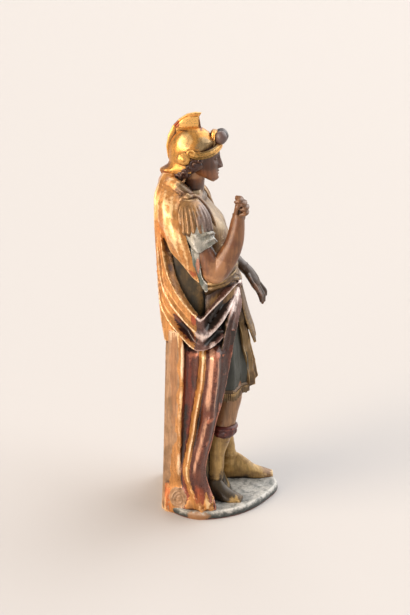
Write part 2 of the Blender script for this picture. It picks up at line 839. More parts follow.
def right_hand():
    """A loosely closed fist, its fingers curled over what it once held."""
    palm = limb(
        [[-46.5, 31, 303, 5, 6], [-45.5, 32, 309, 4.8, 5.4], [-44.5, 32, 315, 4.6, 4.8], [-44, 31.5, 319, 3.6, 3.4]],
        around=28,
        rows=20,
        tips=(False, True),
    )
    fingers = []
    for f, z in ((32.6, 321), (36, 317.8), (37.9, 313.8), (37.8, 309.2)):
        fingers.append(
            finger([[-40, f - 4, z - 1], [-43.5, f, z], [-49.5, f + 0.3, z], [-52.6, f - 1.8, z - 0.8], [-52, f - 4.8, z - 1.6]], 2.4)
        )
    thumb = finger([[-48.5, 28, 304], [-51, 28.2, 310.5], [-52.6, 29.6, 315], [-52.2, 32.4, 317]], 2.5)
    return [palm, *fingers, thumb]


def left_hand():
    palm = limb(
        [[43.5, 38.5, 228, 5.8, 5.4], [43, 44, 222.5, 7, 5], [42.5, 49, 215, 8, 4.6], [42, 51.8, 209, 7.4, 4]],
        around=28,
        rows=20,
        across=(1, 0.5, 0),
    )
    fingers = []
    for u in np.linspace(0, 1, 4):
        spread = (u - 0.5) * 11
        reach = 1 - 0.9 * (u - 0.4) ** 2
        fingers.append(
            finger(
                [
                    [42.5 + spread * 0.85, 50 + spread * 0.4, 212],
                    [42 + spread * 0.9, 54.8 + spread * 0.45, 212 - 8 * reach],
                    [41.5 + spread * 0.9, 58 + spread * 0.45, 212 - 15 * reach],
                    [41 + spread * 0.85, 58.8 + spread * 0.45, 212 - 20.5 * reach],
                ],
                2.5,
            )
        )
    thumb = finger([[37, 42, 222], [33.5, 46, 216], [32.5, 50, 210], [33.5, 52.5, 205.5]], 2.6)
    return [palm, *fingers, thumb]


def arm_and_hand(name, arm, hand):
    forearm = limb(arm, around=40, rows=90, tips=(True, False), swell=forearm_muscles)
    return fused(carving(name, [forearm, *hand], "flesh"), 0.5, faces=15000, soften=2)


SLEEVE_RIDGES = [
    ([[-54, -7.3, 271.4], [-57, -4.5, 278.9], [-58, 0.9, 284], [-54.5, 7.3, 285.1], [-47, 10.9, 281]], 2.0),
    ([[-54, -10.9, 277.4], [-57, -7.3, 285.8], [-57.4, -0.9, 290.4], [-54.5, 6.4, 291.4], [-46, 9, 288]], 1.6),
    ([[-54, -12.8, 284.4], [-56, -11.9, 273.9], [-56.3, -10.1, 262.7], [-54.6, -6.4, 250.9], [-52, -1.9, 240.5]], 1.9),
    ([[-57, -5.5, 278], [-57.3, -6.4, 266.9], [-56, -4.6, 255], [-53.4, -0.4, 244.8]], 1.6),
]


def sleeve(side, arm):
    def creases(angle, t):
        return (1.1 * np.sin(angle * 4 + t * 4) + 0.5 * np.sin(angle * 9 - t * 6)) * (0.4 + 0.6 * t)

    def ridge(rows, thick):
        swelling = [thick * (0.45 + 0.55 * math.sin(math.pi * i / (len(rows) - 1))) for i in range(len(rows))]
        stations = [[-side * x, f, z, size, size] for (x, f, z), size in zip(rows, swelling)]
        return limb(stations, around=16, rows=50, tips=(True, True))

    tube = limb(
        mirrored(
            [[45.5, -10, 297, 11.5, 14.5], [47, -8, 288.5, 12.4, 14.5], [48, -4.5, 281.5, 12.4, 14], [48, -1, 275.5, 11.6, 13.5]],
            side,
        ),
        around=96,
        rows=40,
        swell=creases,
    )
    slack = limb(
        mirrored(
            [
                [50, -5, 280, 7.6, 9.5],
                [51.5, -5.5, 268, 6.2, 8],
                [52, -4.5, 255, 5, 6],
                [51.5, -1.8, 243, 3.6, 3.8],
                [51, 0.8, 235, 2, 1.8],
            ],
            side,
        ),
        around=48,
        rows=50,
        tips=(False, True),
        swell=lambda a, t: (0.7 * np.sin(a * 3) + 0.4 * np.sin(a * 7 + 3 * t)) * (1 - 0.7 * t),
    )
    ridges = [ridge(rows, thick) for rows, thick in SLEEVE_RIDGES]
    hollow = limb([[x, f, z, a + 1.6, b + 1.6] for x, f, z, a, b in arm[1:5]], around=32, rows=24)
    cloth = fused(carving(f"sleeve_{side}", [tube, slack, *ridges], "sleeve"), 0.55, faces=13000, soften=2)
    return cut_away(cloth, carving("hollow", [hollow], "sleeve"))


# Legs and boots

RIGHT_LEG = [
    [-16, 10, 186, 15, 15],
    [-17, 17, 152, 14, 14.5],
    [-18.5, 24.5, 119, 11.5, 12],
    [-20, 22.5, 103, 10.4, 11],
    [-21.8, 18.5, 86, 10.4, 11],
    [-23.5, 14, 71, 10, 10.6],
    [-24.2, 10.8, 56, 8.4, 9],
    [-24.6, 10.5, 42, 7.6, 8.4],
    [-25, 9, 26, 7.6, 8.6],
    [-25.5, 8, 14, 7.6, 9],
]
LEFT_LEG = [
    [15, 9, 186, 15, 15],
    [17, 18, 152, 14, 14.5],
    [18, 26.5, 119, 11.5, 12.5],
    [18.6, 22, 103, 10.4, 11],
    [19, 18.5, 86, 10.2, 10.8],
    [19.4, 17.5, 71, 10, 10.6],
    [19.8, 19.5, 56, 8.4, 9.2],
    [20, 22.5, 42, 7.4, 8.2],
    [20.3, 24.5, 28, 7.4, 8.4],
    [20.6, 24, 14, 7.6, 9.4],
]


def bare_leg(name, stations):
    return carving(name, [limb(stations[:6], around=40, rows=50)], "flesh")


def boot(name, stations, heel, toe):
    def wrinkles(angle, t):
        low = smoothstep(t, 0.45, 0.75)
        return 0.35 * np.sin(t * 46 + 1.2 * np.sin(angle)) * low + 0.3 * bump(np.cos(angle), 0.12) * (1 - low)

    shaft = limb(stations[4:], around=40, rows=60, swell=wrinkles)
    return fused(carving(name, [shaft, foot(heel, toe)], "boots"), 0.65, faces=10000, soften=2)


def foot(heel, toe):
    heel, toe = np.array(heel, float), np.array(toe, float)
    along = (toe - heel) / np.linalg.norm(toe - heel)
    profile = even_course([[4.6, 12], [7, 21], [7.4, 27], [7.6, 21], [8.4, 13], [7.8, 9], [5, 5.5]])
    section = even_course([[-1, 0], [-1.06, 0.2], [-0.8, 0.66], [0, 1], [0.8, 0.66], [1.06, 0.2], [1, 0]])
    across = section(np.linspace(0, 1, 31))
    rings = []
    for t in np.linspace(0, 1, 41):
        half, high = profile(t)
        x, f = heel + (toe - heel) * t
        rings.append(
            np.stack(
                [
                    x + along[1] * half * across[:, 0],
                    f - along[0] * half * across[:, 0],
                    PLINTH_THICKNESS - 1 + across[:, 1] * high,
                ],
                1,
            )
        )
    return loft(rings)


def cuff(name, x, f):
    levels = [
        [BOOT_TOP_LEVEL - 9, x - 0.5, f - 1, 11, 11.6],
        [BOOT_TOP_LEVEL - 6, x - 0.4, f - 0.4, 12.6, 13.2],
        [BOOT_TOP_LEVEL - 2.5, x - 0.2, f, 12.9, 13.5],
        [BOOT_TOP_LEVEL + 0.5, x, f + 0.6, 13, 13.6],
        [BOOT_TOP_LEVEL + 3, x, f + 1, 11, 11.6],
    ]

    def turned(angle, z):
        return 0.35 * np.sin(angle * 11) * bump(z - BOOT_TOP_LEVEL + 4, 4) - 0.7 * bump(z - BOOT_TOP_LEVEL + 1.6, 0.9)

    return carving(name, [stack(levels, around=72, rows=20, swell=turned)], "cuffs")


# Tunic and sash

SKIRT_LEVELS = [
    [HEM_LEVEL - 1, 0, 9, 41, 31.5],
    [HEM_LEVEL + FRINGE_HEIGHT, 0, 9.5, 40.5, 32.5],
    [HEM_LEVEL + FRINGE_HEIGHT + 1.5, 0, 9.5, 40, 32],
    [140, -1, 10, 39.5, 32],
    [165, -1, 9, 38, 31],
    [190, -1, 8, 36, 28.5],
    [SKIRT_TOP_LEVEL, -1, 8, 33, 25],
]


def pleats(angle, z):
    fall = smoothstep(200 - z, 0, 60)
    return fall * (2.1 * np.sin(angle * 8 + 0.6 * np.sin(z * 0.03)) + 0.5 * np.sin(angle * 19 + z * 0.02))


def tunic():
    levels = [row for row in SKIRT_LEVELS if row[0] != HEM_LEVEL - 1]
    levels.insert(0, [HEM_LEVEL + 7, 0, 9.3, 40.2, 31.8])
    return carving("tunic", [stack(levels, around=190, rows=64, swell=pleats)], "tunic")


def hem_band():
    """The gold braid over the fringe, and the fringe's ground behind its strands."""
    braid = [
        [HEM_LEVEL + 8.5, 0, 9.4, 41.2, 33],
        [HEM_LEVEL + 10, 0, 9.5, 41.8, 33.6],
        [HEM_LEVEL + FRINGE_HEIGHT, 0, 9.5, 41.8, 33.6],
        [HEM_LEVEL + FRINGE_HEIGHT + 2, 0, 9.5, 40.6, 32.4],
    ]
    ground = [[HEM_LEVEL + 2, 0, 9, 40, 30.5], [HEM_LEVEL + 9, 0, 9.4, 40.6, 32.2]]
    twist = lambda a, z: pleats(a, z) + 0.3 * np.sin(a * 120 + z * 1.2)
    shells = [stack(braid, around=240, rows=8, swell=twist), stack(ground, around=120, rows=6, swell=pleats)]
    return carving("hem_band", shells, "gold_trim")


def node_tree(name, sizes):
    """An empty geometry tree with named inputs for its sizes."""
    tree = bpy.data.node_groups.new(name, "GeometryNodeTree")
    tree.interface.new_socket("Geometry", in_out="INPUT", socket_type="NodeSocketGeometry")
    for label, value in sizes.items():
        kind = "NodeSocketInt" if isinstance(value, int) else "NodeSocketFloat"
        tree.interface.new_socket(label, in_out="INPUT", socket_type=kind)
    tree.interface.new_socket("Geometry", in_out="OUTPUT", socket_type="NodeSocketGeometry")
    return tree


class Wiring:
    """Places nodes in a tree and joins them by socket name."""

    def __init__(self, tree, ends=True):
        self.tree = tree
        if ends:
            self.inputs = tree.nodes.new("NodeGroupInput")
            self.output = tree.nodes.new("NodeGroupOutput")

    def node(self, kind, sockets=None, **settings):
        node = self.tree.nodes.new(kind)
        for key, value in settings.items():
            setattr(node, key, value)
        for key, value in (sockets or {}).items():
            socket = node.inputs[key]
            if isinstance(value, bpy.types.NodeSocket):
                self.tree.links.new(value, socket)
            else:
                socket.default_value = value
        return node

    def size(self, label):
        return self.inputs.outputs[label]


def grown(name, guide, tree, sizes, finish):
    """Runs a geometry tree on a guide mesh and keeps the plain mesh that it makes."""
    piece = bpy.data.objects.new(name, guide)
    bpy.context.scene.collection.objects.link(piece)
    modifier = piece.modifiers.new(name, "NODES")
    modifier.node_group = tree
    for item in tree.interface.items_tree:
        if item.item_type == "SOCKET" and item.in_out == "INPUT" and item.name in sizes:
            modifier[item.identifier] = sizes[item.name]
    settle(piece)
    mesh = piece.data
    bpy.data.objects.remove(piece)
    return painted(name, mesh, [FINISHES.index(finish)] * len(mesh.polygons))


def guide_line(name, points, normals=None):
    """A guide mesh of loose points joined in a line, carrying a direction for each point."""
    mesh = bpy.data.meshes.new(name)
    mesh.from_pydata(world(points).tolist(), [[i, i + 1] for i in range(len(points) - 1)], [])
    if normals is not None:
        facing = mesh.attributes.new("facing", "FLOAT_VECTOR", "POINT")
        turned = np.asarray(normals, float) * [1, -1, 1]
        facing.data.foreach_set("vector", turned.ravel())
    return mesh


def fringe():
    """Strands hang side by side from the braid, each a little different."""
    sizes = {"Spacing": 2.1 * MM, "Length": 8.4 * MM, "Thickness": 1.15 * MM, "Seed": 7}
    tree = node_tree("fringe", sizes)
    w = Wiring(tree)
    curve = w.node("GeometryNodeMeshToCurve", {"Mesh": w.inputs.outputs["Geometry"]})
    spaced = w.node("GeometryNodeResampleCurve", {"Curve": curve.outputs[0], "Length": w.size("Spacing")}, mode="LENGTH")
    line = w.node("GeometryNodeCurvePrimitiveLine", {"End": (0, 0, -1)})
    fine = w.node("GeometryNodeResampleCurve", {"Curve": line.outputs[0], "Count": 6})
    along = w.node("GeometryNodeSplineParameter")
    taper = w.node("ShaderNodeMapRange", {"Value": along.outputs["Factor"], "To Min": 1.0, "To Max": 0.62})
    thick = w.node("GeometryNodeSetCurveRadius", {"Curve": fine.outputs[0], "Radius": taper.outputs[0]})
    circle = w.node("GeometryNodeCurvePrimitiveCircle", {"Resolution": 7, "Radius": 1.0})
    strand = w.node(
        "GeometryNodeCurveToMesh", {"Curve": thick.outputs[0], "Profile Curve": circle.outputs[0], "Fill Caps": True}
    )
    length = w.node("FunctionNodeRandomValue", {"Seed": w.size("Seed")}, data_type="FLOAT")
    length.inputs[2].default_value = 0.78
    length.inputs[3].default_value = 1.08
    long = w.node("ShaderNodeMath", {0: w.size("Length"), 1: length.outputs[1]}, operation="MULTIPLY")
    scale = w.node("ShaderNodeCombineXYZ", {"X": w.size("Thickness"), "Y": w.size("Thickness"), "Z": long.outputs[0]})
    hung = w.node(
        "GeometryNodeInstanceOnPoints",
        {"Points": spaced.outputs[0], "Instance": strand.outputs[0], "Scale": scale.outputs[0]},
    )
    real = w.node("GeometryNodeRealizeInstances", {"Geometry": hung.outputs[0]})
    finish = w.node("GeometryNodeSetMaterial", {"Geometry": real.outputs[0], "Material": PALETTE[FINISHES.index("gold_trim")]})
    tree.links.new(finish.outputs[0], w.output.inputs[0])
    angle = np.linspace(-0.9, math.pi + 0.9, 260)
    z = HEM_LEVEL + 9
    x, f, width, depth = course(SKIRT_LEVELS)(z)
    out = pleats(angle, z)
    rim = np.stack([x + np.cos(angle) * (width + 0.4 + out), f + np.sin(angle) * (depth + 0.4 + out), z + 0 * angle], 1)
    return grown("fringe", guide_line("fringe", rim), tree, sizes, "gold_trim")


def curls():
    """Snail curls round the face and down to the nape."""
    sizes = {"Curl": 4.0 * MM, "Strand": 1.6 * MM, "Turns": 1.5, "Seed": 11}
    tree = node_tree("curls", sizes)
    w = Wiring(tree)
    inner = w.node("ShaderNodeMath", {0: w.size("Curl"), 1: 0.12}, operation="MULTIPLY")
    rise = w.node("ShaderNodeMath", {0: w.size("Curl"), 1: 0.7}, operation="MULTIPLY")
    spiral = w.node(
        "GeometryNodeCurveSpiral",
        {
            "Resolution": 22,
            "Rotations": w.size("Turns"),
            "Start Radius": w.size("Curl"),
            "End Radius": inner.outputs[0],
            "Height": rise.outputs[0],
        },
    )
    circle = w.node("GeometryNodeCurvePrimitiveCircle", {"Resolution": 9, "Radius": w.size("Strand")})
    strand = w.node(
        "GeometryNodeCurveToMesh", {"Curve": spiral.outputs[0], "Profile Curve": circle.outputs[0], "Fill Caps": True}
    )
    points = w.node("GeometryNodeMeshToPoints", {"Mesh": w.inputs.outputs["Geometry"]})
    facing = w.node("GeometryNodeInputNamedAttribute", {"Name": "facing"}, data_type="FLOAT_VECTOR")
    aim = w.node("FunctionNodeAlignRotationToVector", {"Vector": facing.outputs[0]}, axis="Z")
    spin = w.node("FunctionNodeRandomValue", {"Seed": w.size("Seed")}, data_type="FLOAT")
    spin.inputs[3].default_value = TURN
    about = w.node("ShaderNodeCombineXYZ", {"Z": spin.outputs[1]})
    placed = w.node(
        "GeometryNodeInstanceOnPoints",
        {"Points": points.outputs[0], "Instance": strand.outputs[0], "Rotation": aim.outputs[0]},
    )
    spun = w.node("GeometryNodeRotateInstances", {"Instances": placed.outputs[0], "Rotation": about.outputs[0]})
    real = w.node("GeometryNodeRealizeInstances", {"Geometry": spun.outputs[0]})
    finish = w.node("GeometryNodeSetMaterial", {"Geometry": real.outputs[0], "Material": PALETTE[FINISHES.index("hair")]})
    tree.links.new(finish.outputs[0], w.output.inputs[0])
    rows, facings = [], []
    for side in (-1, 1):
        for i, down in enumerate((0, 0, 0, 0, 0)):
            u = i / 4
            rows.append([side * (17.6 - 3.2 * u**2), -5.5 - 17 * u, 350.5 - 14.5 * u - down])
            facings.append([side * 1.0, 0.25 - 0.7 * u**2, -0.15])
        for u in (0.5, 0.85):
            rows.append([side * (16.8 - 3.6 * u**2), -10 - 17 * u, 341.5 - 9 * u])
            facings.append([side * 1.0, 0.1 - 0.6 * u**2, -0.3])
    for x in (-8.5, -2.9, 2.9, 8.5):
        rows.append([x, -30.5 + abs(x) * 0.25, 333])
        facings.append([x * 0.05, -1, -0.2])
    for x in (-8.6, -2.9, 2.9, 8.6):
        rows.append([x, 10 - x * x * 0.05, 356])
        facings.append([x * 0.06, 1, 0])
    return grown("curls", guide_line("curls", rows, facings), tree, sizes, "hair")


def hair_ground():
    """The mass of hair under the curls."""
    shells = []
    for side in (-1, 1):
        rows = [[side * (16.4 - 4.5 * u**3), -6 - 20 * u, 346.5 - 12 * u, 3.2, 5.2] for u in np.linspace(0, 1, 6)]
        shells.append(limb(rows, around=20, rows=24, across=(side, 0, 0), tips=(True, True)))
    shells.append(ball(0, -29, 333.8, 13, 4.4, 5, around=36))
    return carving("hair_ground", shells, "hair")


def rosettes():
    """A flower of eight rounded petals at each ear, with a boss in its middle."""
    x, f, z = EAR
    shells = []
    for side in (-1, 1):
        domed = [[x - 2, 6.4], [x + 1.6, 6.4], [x + 3.2, 6], [x + 4.4, 5], [x + 5.2, 3.4], [x + 5.4, 1]]
        rows = [[side * out, f, z, reach, reach] for out, reach in domed]
        petals = lambda a, t: 0.55 * (np.abs(np.cos(a * 4)) ** 0.5 - 0.6) * smoothstep(1 - t, 0, 0.3)
        shells.append(limb(rows, around=128, rows=24, across=(0, 1, 0), swell=petals))
        shells.append(ball(side * (x + 5), f, z, 1.6, 2, 2))
    return fused(carving("rosettes", shells, "gilding"), 0.5, faces=7000)


def sash_end():
    crests = [
        even_course([[-20, 30, 226], [-22, 33, 198], [-21, 37, 170], [-17, 41.5, 146], [-15, 44, 121]]),
        even_course([[-14, 34, 227], [-15, 38, 198], [-13, 42.5, 170], [-10, 47, 146], [-8, 50, 123]]),
        even_course([[-9, 35, 227], [-8.5, 39.5, 198], [-6, 44, 170], [-3, 49.5, 146], [-1, 52.5, 129]]),
    ]
    band = curtain(
        crests,
        np.linspace(0, 1, 60),
        lambda i, v: 2.2,
        lambda v: 6,
        (0, 8),
        ripple=lambda i, s, v: 0.7 * np.sin(v * 26 + s * 5),
        outside="gold_trim",
    )
    knot = ball(TUCK[0] + 1, TUCK[1], TUCK[2], 5, 3.6, 4, around=28, rows=16)
    return carving("sash_end", [band, (*knot, ["mantle_swag"] * len(knot[1]))], "gold_trim")


def sash():
    """The cloth wound round the waist, in slanting folds that gather at the tuck."""
    shape = course(TORSO_LEVELS)
    shells = []
    for k in range(1, 5):
        angle = np.linspace(0.62 * TURN, 0.29 * TURN, 11)
        u = np.linspace(0, 1, 11)
        z = 218 + 6.2 * k + (26 - 4.4 * k) * u**0.9 - (1 - u) * 3
        x, f, width, depth = shape(z).T
        out = 0.6 + 1.1 * np.sin(math.pi * u) + 0.5 * np.sin(u * 9 + 2 * k) - 3.5 * (1 - smoothstep(u, 0, 0.3))
        rows = [x + np.cos(angle) * (width + out), f + np.sin(angle) * (depth + out), z, 4.2 - 2.4 * u, 3 - 1.6 * u]
        uneven = lambda a, t: 0.5 * np.sin(a * 2 + t * 11)
        shells.append(limb(np.stack(rows, 1), around=18, rows=50, across=(0, 0, 1), tips=(True, True), swell=uneven))
    return carving("sash", shells, "gold_trim")


# Mantle

BACK_CORNER = level_course([[0, -38, -43.5], [24, -38, -42], [65, -38, -40.5], [CLOAK_TOP, -36, -37]])

NEAR_EDGE = course(
    [
        [0, 9],
        [7, 11],
        [16, 10],
        [25, 6.6],
        [36, 3],
        [49, 1],
        [63, 2.9],
        [80, 7.3],
        [101, 11.3],
        [122, 17.3],
        [143, 21.5],
        [172, 26.5],
        [CLOAK_TOP, 29],
    ]
)

NEAR_BACK = course([[0, -40.5], [60, -38.5], [141, -36.5], [CLOAK_TOP, -34]])

BROAD_FOLD = [
    [0, 6],
    [17, 1],
    [31, -5.5],
    [47, -8.3],
    [63, -5.3],
    [85, 0],
    [106, 3.8],
    [127, 5.7],
    [147, 8],
    [CLOAK_TOP, 9.5],
]

NARROW_FOLD = [
    [0, -2],
    [17, -8.5],
    [31, -14.7],
    [47, -18],
    [63, -16],
    [85, -12],
    [106, -9.1],
    [127, -5.7],
    [147, -2.8],
    [CLOAK_TOP, -0.5],
]

REAR_FOLD = [[0, -28], [45, -26.4], [82, -24.7], [104, -24], [145, -21.9], [CLOAK_TOP, -21]]

KNOT = (-50, -26, 17)

HEM_CHIPS = [(7, 12, 2.2, 3.5), (3, 7, 2.6, 3), (-2, 11, 1.6, 2.6), (9, 19, 1.6, 3), (-7, 6, 2, 2), (5, 3, 2, 3)]


def near_folds():
    """The hanging folds on the figure's right: how far they stand out, over f and z."""
    levels = np.linspace(0, CLOAK_TOP, 150)
    front, back = NEAR_EDGE(levels), NEAR_BACK(levels)
    f = front + (back - front) * np.linspace(0, 1, 90)
    z = levels[:, None] + 0 * f

    def beside(rows):
        return f - course(rows)(levels)

    def ridge(rows, ahead, behind, power=2.0):
        away = beside(rows)
        return np.exp(-((np.abs(away) / np.where(away > 0, ahead, behind)) ** power))

    low = smoothstep(40 - z, 0, 34)
    out = 46 - 9 * smoothstep(-f, 20, 44) - 5 * smoothstep(f, 9, 28) + 5.5 * low + 2.2 * smoothstep(z, 60, 130)
    out = out + 10 * ridge(BROAD_FOLD, 9, 6, 2.2) * (1 - 0.3 * low)
    out = out + 9 * ridge(NARROW_FOLD, 3.1, 3.4, 1.7) * (1 - 0.45 * smoothstep(44 - z, 0, 30))
    out = out + 3 * bump(beside(BROAD_FOLD) + 6.5, 2.2)
    out = out + 4.5 * ridge(REAR_FOLD, 2.6, 5) * smoothstep(z, 20, 60)
    out = out + 3 * smoothstep(40 - z, 0, 25) * bump(f + 13, 9)
    out = out - 1.6 * bump(beside(BROAD_FOLD) - 6.5, 1.4) * smoothstep(z, 40, 90)
    out = out + 1.2 * bump(z - 104 - 0.3 * f, 4) * ridge(BROAD_FOLD, 7, 5)
    ring = np.sqrt((f - KNOT[1]) ** 2 + ((z - KNOT[2]) * 0.8) ** 2)
    knot = 1 - smoothstep(ring, 7, 8.6)
    swirl = np.cos(ring * 2.2 + 1.5 * np.arctan2(z - KNOT[2], f - KNOT[1]) + 0.9 * np.sin(f * 0.6))
    out = out + knot * (49.5 - out) * 0.75 + knot * 0.8 * swirl
    for chip_f, chip_z, reach, deep in HEM_CHIPS:
        out = out - deep * bump(np.hypot(f - chip_f, z - chip_z), reach)
    recess = smoothstep(z, 168, 182) * smoothstep(f, -21, -13)
    out = out - recess * (out - 42)
    out = np.minimum(out, 56.5 + 1.1 * z)
    outer = np.stack([-out, f, z], -1)
    inner = outer[:, ::-1].copy()
    inner[..., 0] = -32
    inner[..., 1] = np.minimum(inner[..., 1], front - 3.5)
    count = outer.shape[1]
    cap = [[n, n + 1, 2 * count - 2 - n, 2 * count - 1 - n] for n in range(count - 1)]
    points, faces = loft(np.concatenate([outer, inner], 1), cap)

    rear = beside(REAR_FOLD)
    narrow = np.abs(beside(NARROW_FOLD) + 0.4) < 3.2
    paint = np.full(f.shape, "mantle", object)
    paint[narrow | ((z < 20 + 6 * np.sin(f * 0.8)) & (f < 9) & (f > -19))] = "mantle_gold"
    paint[rear < 1.8] = "mantle_gold"
    paint[rear < -3.5 - 1.2 * np.sin(z * 0.21)] = "bare_wood"
    paint[(z < 76 - (f + 29) ** 2 * 1.2) & (f > -35) & (ring > 8.8)] = "mantle_gold"
    paint[(f < -36) & (z < 34)] = "mantle_gold"
    paint[ring < 8.4] = "bare_wood"
    paint[recess > 0.7] = "pocket"
    paint[(recess > 0.5) & (f < -13)] = "mantle_gold"
    around = 2 * count
    names = []
    for n in range(len(faces)):
        step, place = divmod(n, around)
        shown = step < len(levels) - 1 and place < count
        names.append(paint[step, place] if shown else "mantle")
    return points, faces, names


LEFT_CORNER = level_course([[0, 41, -42], [90, 41, -38], [CLOAK_TOP, 39, -36]])
LEFT_FOLDS = [
    level_course([[0, 49, -24], [100, 49, -20], [CLOAK_TOP, 46, -20]]),
    level_course([[0, 51, -4], [100, 50, 0], [CLOAK_TOP, 47, 2]]),
    level_course([[0, 46, 12], [60, 43, 8], [120, 44, 14], [CLOAK_TOP, 43, 16]]),
]


def across_back(left, right, count):
    def between(share):
        return lambda v: left(v) + (right(v) - left(v)) * share

    return [between((i + 1) / (count + 1)) for i in range(count)]


def lower_mantle():
    near_back = level_course([[0, -42, -34], [CLOAK_TOP, -36, -32]])
    back = [near_back, BACK_CORNER, *across_back(BACK_CORNER, LEFT_CORNER, 3), LEFT_CORNER]
    side = [LEFT_CORNER, *LEFT_FOLDS]
    cuts = np.linspace(0, CLOAK_TOP, 120)
    depths = [4.5, 5, 4]
    return [
        curtain(back, cuts, lambda i, z: 0.3, lambda z: 9, (-2, 4), outside="bare_wood"),
        curtain(side, cuts, lambda i, z: depths[i], lambda z: 9, (-2, 4)),
    ]


def upper_mantle():
    edge = level_course(
        [[180, -44, -28], [206, -46, -30], [240, -45, -36], [258, -41, -39], [284, -38, -40.5], [306, -40, -38], [322, -32, -35], [337, -16, -31]]
    )
    right = level_course([[180, -37, -38.6], [206, -36, -42.5], [258, -35, -45.3], [304, -34, -47], [322, -28, -46], [337, -14, -39]])
    left = level_course([[180, 39, -37], [258, 39, -43], [304, 37, -45], [322, 29, -44], [337, 15, -38]])
    left_fold = level_course([[180, 46, -21], [230, 51, -24], [306, 48, -30], [322, 36, -30], [337, 17, -28]])
    left_edge = level_course([[180, 47, 0], [230, 56, -12], [280, 60, -18], [306, 52, -20], [322, 37, -20], [337, 17, -21]])
    crests = [edge, right, *across_back(right, left, 3), left, left_fold, left_edge]
    depths = [0.6, 0.3, 0.3, 0.3, 0.3, 3, 3.5]

    def wall(z):
        return 8 + 12 * smoothstep(z, 300, 330)

    return curtain(
        crests, np.linspace(180, 337, 130), lambda i, v: depths[i], wall, (0, -4), outside="mantle_gold"
    )


def mantle_collar():
    def roll(out, z, thick):
        rows = [
            [-25 - out, -24, 327, thick * 0.7, thick * 0.7],
            [-21 - out, -32, 330, thick, thick],
            [-9, -36 - out, z, thick, thick],
            [5, -37 - out, z + 0.5, thick, thick],
            [17, -33 - out, z - 1, thick, thick],
            [25 + out, -23, 327, thick * 0.7, thick * 0.7],
        ]
        creases = lambda a, t: 0.5 * np.sin(a * 3 + t * 14)
        points, faces = limb(rows, around=20, rows=60, across=(0, 0, 1), swell=creases)
        return points, faces, ["mantle_gold"] * len(faces)

    beside_neck = limb([[-21, -30, 329, 6, 6], [-29, -22, 325.5, 6.6, 6], [-33, -12, 319, 4.4, 4]], around=24, rows=30, tips=(True, True))
    return [roll(0, 333, 4.2), roll(2, 327, 4.6), (*beside_neck, ["mantle_gold"] * len(beside_neck[1]))]


def shoulder_fall():
    crests = [
        even_course([[-22, -38, 333], [-36, -43, 317], [-40, -43.5, 301], [-37, -40.5, 287]]),
        even_course([[-25, -33, 332], [-43, -38, 315], [-50, -36.5, 293], [-45.5, -31.5, 270]]),
        even_course([[-28, -28, 330], [-47, -31, 312], [-56, -29, 286], [-52, -21.5, 260]]),
        even_course([[-30, -24, 328], [-48, -26, 310], [-58, -21.5, 284], [-55.5, -12.2, 249]]),
        even_course([[-31, -21, 326], [-47, -22, 309], [-58, -15.5, 282], [-57, -4.5, 243]]),
    ]
    return curtain(
        crests,
        np.linspace(0, 1, 80),
        lambda i, v: 0.35,
        lambda t: 12 - 8 * t,
        (-10, -8),
        roundness=lambda i, v: 1,
        outside="mantle_gold",
    )


SWAG_CRESTS = [
    even_course(rows)
    for rows in (
        [
            [-34, -44.5, 303],
            [-39, -41.5, 284],
            [-42.5, -39, 264],
            [-46.5, -34.5, 247.5],
            [-51, -27, 232.5],
            [-54.5, -17.5, 220],
            [-56.5, -10, 212],
            [-57, -3.7, 208],
            [-55.5, 2.8, 214],
            [-51, 11.4, 221.4],
            [-43, 20.4, 227.6],
            [-30, 29, 232.4],
            [-15, 34.6, 232],
        ],
        [
            [-36, -45.4, 279.5],
            [-40, -43.7, 259],
            [-43, -41, 237.5],
            [-48.6, -34.5, 223.6],
            [-54, -25.1, 211.7],
            [-57.4, -15.8, 202.1],
            [-59.2, -6.5, 194.3],
            [-58, 2.8, 191.8],
            [-51.4, 12.2, 198.3],
            [-42.2, 20.7, 206.9],
            [-27, 28.5, 218.1],
            [-14, 33, 228],
        ],
        [
            [-37, -45.7, 255],
            [-39, -44.8, 236],
            [-42.5, -42, 216],
            [-48.6, -34.7, 202.8],
            [-54, -25.3, 192.3],
            [-57.1, -16.9, 183.5],
            [-58.9, -8.4, 177.6],
            [-58.4, 0.9, 177.9],
            [-53.1, 10.3, 181.4],
            [-43.3, 19.9, 188.8],
            [-29.5, 27.6, 201.9],
            [-14, 34, 225],
        ],
    )
]


def swag():
    steps = np.linspace(0, 1, 150)

    def pockets(i, t):
        ahead = smoothstep(t, 0.58, 0.68) * (1 - smoothstep(t, 0.92, 0.98))
        if i == 0:
            return 2.2 + 9 * ahead
        return 2.6 + 6.5 * bump(t - 0.42, 0.1) + 6.5 * ahead

    def creases(i, s, t):
        return 0.8 * np.sin(s * TURN * 1.5 + 1) * np.sin(math.pi * s) * (1 - 0.6 * t)

    points, faces, names = curtain(
        SWAG_CRESTS,
        steps,
        pockets,
        lambda t: 12 - 3 * t,
        (-6, 0),
        per_fold=22,
        roundness=lambda i, t: 0.3,
        ripple=creases,
        outside="mantle_swag",
        shady=4.0,
    )
    around = (len(names) - 2 * (len(SWAG_CRESTS) - 1) * 23) // (len(steps) - 1)
    half = around * int(len(steps) * 0.52)
    behind = {"lining": "mantle", "mantle_swag": "mantle_gold"}
    ahead = {"lining": "pocket", "mantle_swag": "mantle_swag"}
    return points, faces, [(behind if n < half else ahead)[name] for n, name in enumerate(names)]


